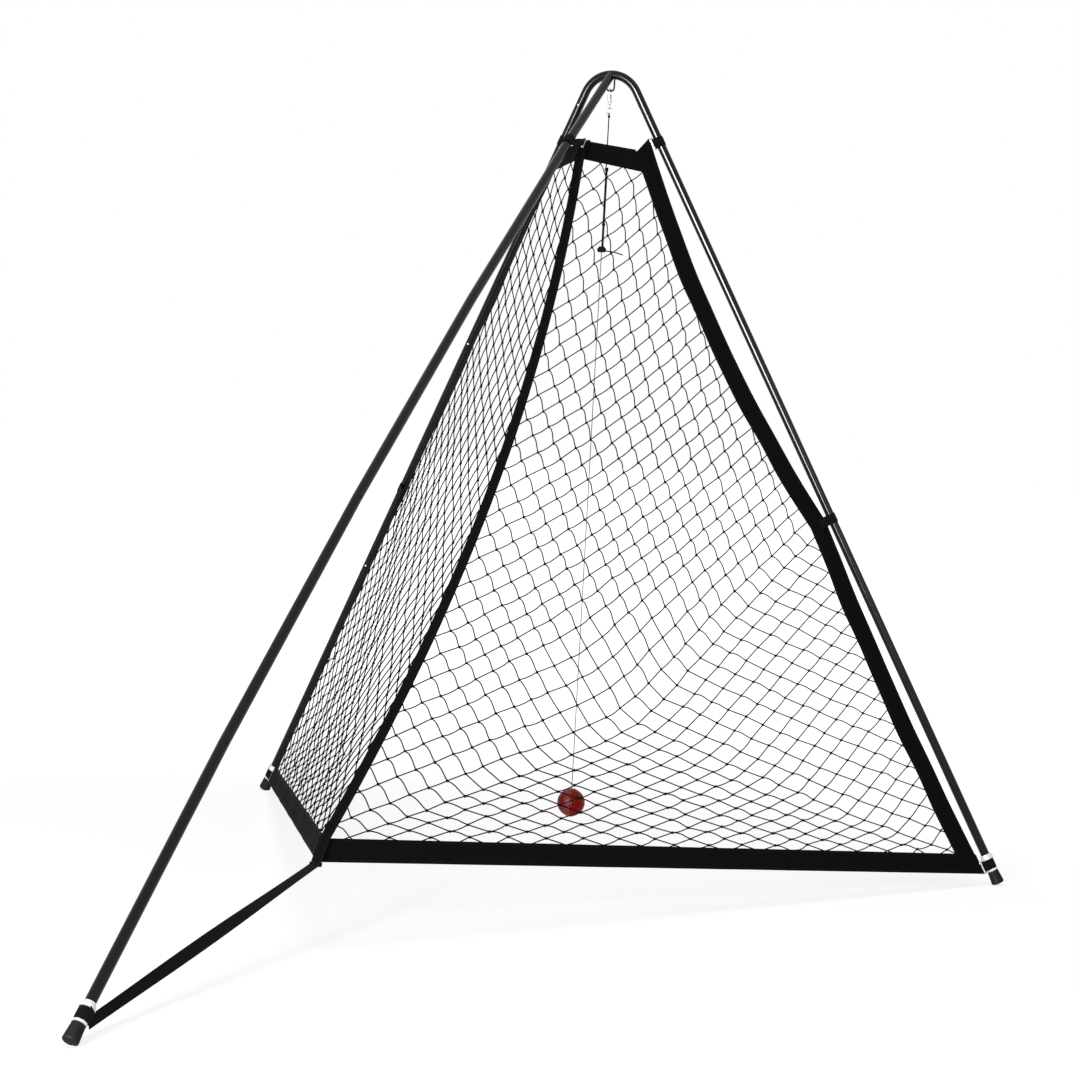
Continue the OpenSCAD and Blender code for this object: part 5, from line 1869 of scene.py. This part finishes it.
@dataclass
class Ball:
    """Leather ball with a raised, stitched seam, hung on its line."""

    layout: Layout
    finishes: Finishes
    tools: NodeTools
    radius: float = 0.036
    height: float = 0.124
    seam_half: float = 0.009
    seam_proud: float = 0.0007
    seam_slope: float = 0.0012
    groove_half: float = 0.0004
    groove_deep: float = 0.0005
    stitch_seed: int = 5
    row_points: int = 181
    sharp_over_deg: float = 60
    rows: tuple[float, ...] = (0.0016, 0.0044, 0.0072)
    pitch: float = 0.0034
    stitch: float = 0.0024
    thread_r: float = 0.00042

    def build_cover(self) -> bpy.types.Object:
        """Turns the cover about its level axis, with the seam standing proud.

        Returns:
            The cover.
        """
        middle = np.array([0, self.layout.crown[1], self.height])
        count = 64
        sides = 96
        angle = np.linspace(0, np.pi, count)[1:-1]
        x = -self.radius * np.cos(angle)
        edge = smooth_step((self.seam_half - np.abs(x)) / self.seam_slope)
        groove = np.exp(-(x / self.groove_half) ** 2) * self.groove_deep
        size = self.radius + self.seam_proud * edge - groove
        reach = size * np.sin(angle)
        x = -size * np.cos(angle)
        turn = 2 * np.pi * np.arange(sides) / sides
        ring = np.stack([np.zeros(sides), np.cos(turn), np.sin(turn)], axis=1)
        points = (reach[:, None, None] * ring[None] + (x[:, None, None] * ACROSS)).reshape(-1, 3)
        points = np.concatenate([points, [-self.radius * ACROSS], [self.radius * ACROSS]]) + middle
        rings = count - 2
        faces = []
        for k in range(rings - 1):
            for a in range(sides):
                b = (a + 1) % sides
                faces.append([k * sides + a, k * sides + b, (k + 1) * sides + b, (k + 1) * sides + a])
        last = (rings - 1) * sides
        for a in range(sides):
            b = (a + 1) % sides
            faces.append([b, a, rings * sides])
            faces.append([last + a, last + b, rings * sides + 1])
        obj = new_object("leather_ball", points, faces, None, self.sharp_over_deg)
        dress(obj, self.finishes.get(Finishes.LEATHER))
        return obj

    def build_stitches(self) -> bpy.types.Object:
        """Sews six rows round the seam.

        Returns:
            The stitches.
        """
        middle = np.array([0, self.layout.crown[1], self.height])
        turn = np.linspace(0, 2 * np.pi, self.row_points)
        ring = np.stack([np.zeros(len(turn)), np.cos(turn), np.sin(turn)], axis=1)
        rows = []
        for off in self.rows:
            for x in (-off, off):
                reach = math.sqrt((self.radius + self.seam_proud) ** 2 - x * x)
                rows.append(middle + x * ACROSS + reach * ring)
        return self.tools.stitch("ball_seam_stitches", rows, Finishes.SEAM, self.pitch, self.stitch,
                                 self.thread_r, self.stitch_seed)

    def build(self) -> None:
        """Builds the ball in place of its plain cover."""
        cover = self.build_cover()
        stitches = self.build_stitches()
        for obj in (cover, stitches):
            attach(obj, "hanging_ball")
            log.info("%s built", obj.name)
        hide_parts("ball_cover")


@dataclass
class Hardware:
    """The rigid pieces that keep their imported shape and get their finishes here."""

    finishes: Finishes
    GROUPS: ClassVar[tuple[tuple[Finish, tuple[str, ...]], ...]] = (
        (Finishes.POLE, ("apex_head", "right_upper_pole", "right_middle_pole", "right_lower_pole",
                         "left_upper_pole", "left_middle_pole", "left_lower_pole", "stay_upper_pole",
                         "stay_high_pole", "stay_low_pole", "stay_bottom_pole")),
        (Finishes.HOOK, ("ball_hook",)),
        (Finishes.BUTTON, ("right_top_button", "right_middle_button", "right_low_button", "left_top_button",
                           "left_middle_button", "left_low_button", "stay_top_button", "stay_high_button",
                           "stay_low_button", "stay_bottom_button")),
        (Finishes.SPRING, ("button_springs", "snap_spring")),
        (Finishes.FOOT, ("right_foot", "left_foot", "stay_foot")),
        (Finishes.SPOOL, ("right_spool", "left_spool", "stay_spool")),
        (Finishes.RING, ("strap_rings", "split_ring")),
        (Finishes.SNAP, ("snap_body", "snap_bolt", "snap_swivel")),
        (Finishes.CORE, ("ball_core",)),
    )

    def build(self) -> None:
        """Gives every rigid piece its finish."""
        for finish, names in self.GROUPS:
            for name in names:
                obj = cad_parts[name]
                for slot in obj.material_slots:
                    slot.material = self.finishes.get(finish)
            log.info("%s on %d pieces", finish.name, len(names))


def main() -> None:
    """Builds the studio and every piece, in order."""
    right_net_seed = 21
    left_net_seed = 34
    logging.basicConfig(level=logging.INFO, format="%(name)s: %(message)s")
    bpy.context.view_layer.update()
    layout = Layout()
    finishes = Finishes()
    tools = NodeTools(finishes)
    Studio().build()
    HangingCord(layout, finishes).build()
    Hardware(finishes).build()
    Webbing(layout, finishes, tools).build()
    Straps(layout, finishes).build()
    Ball(layout, finishes, tools).build()
    NetPanel(layout, finishes, tools, Side.RIGHT, right_net_seed).build()
    NetPanel(layout, finishes, tools, Side.LEFT, left_net_seed).build()
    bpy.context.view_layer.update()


if __name__ == "__main__":
    main()
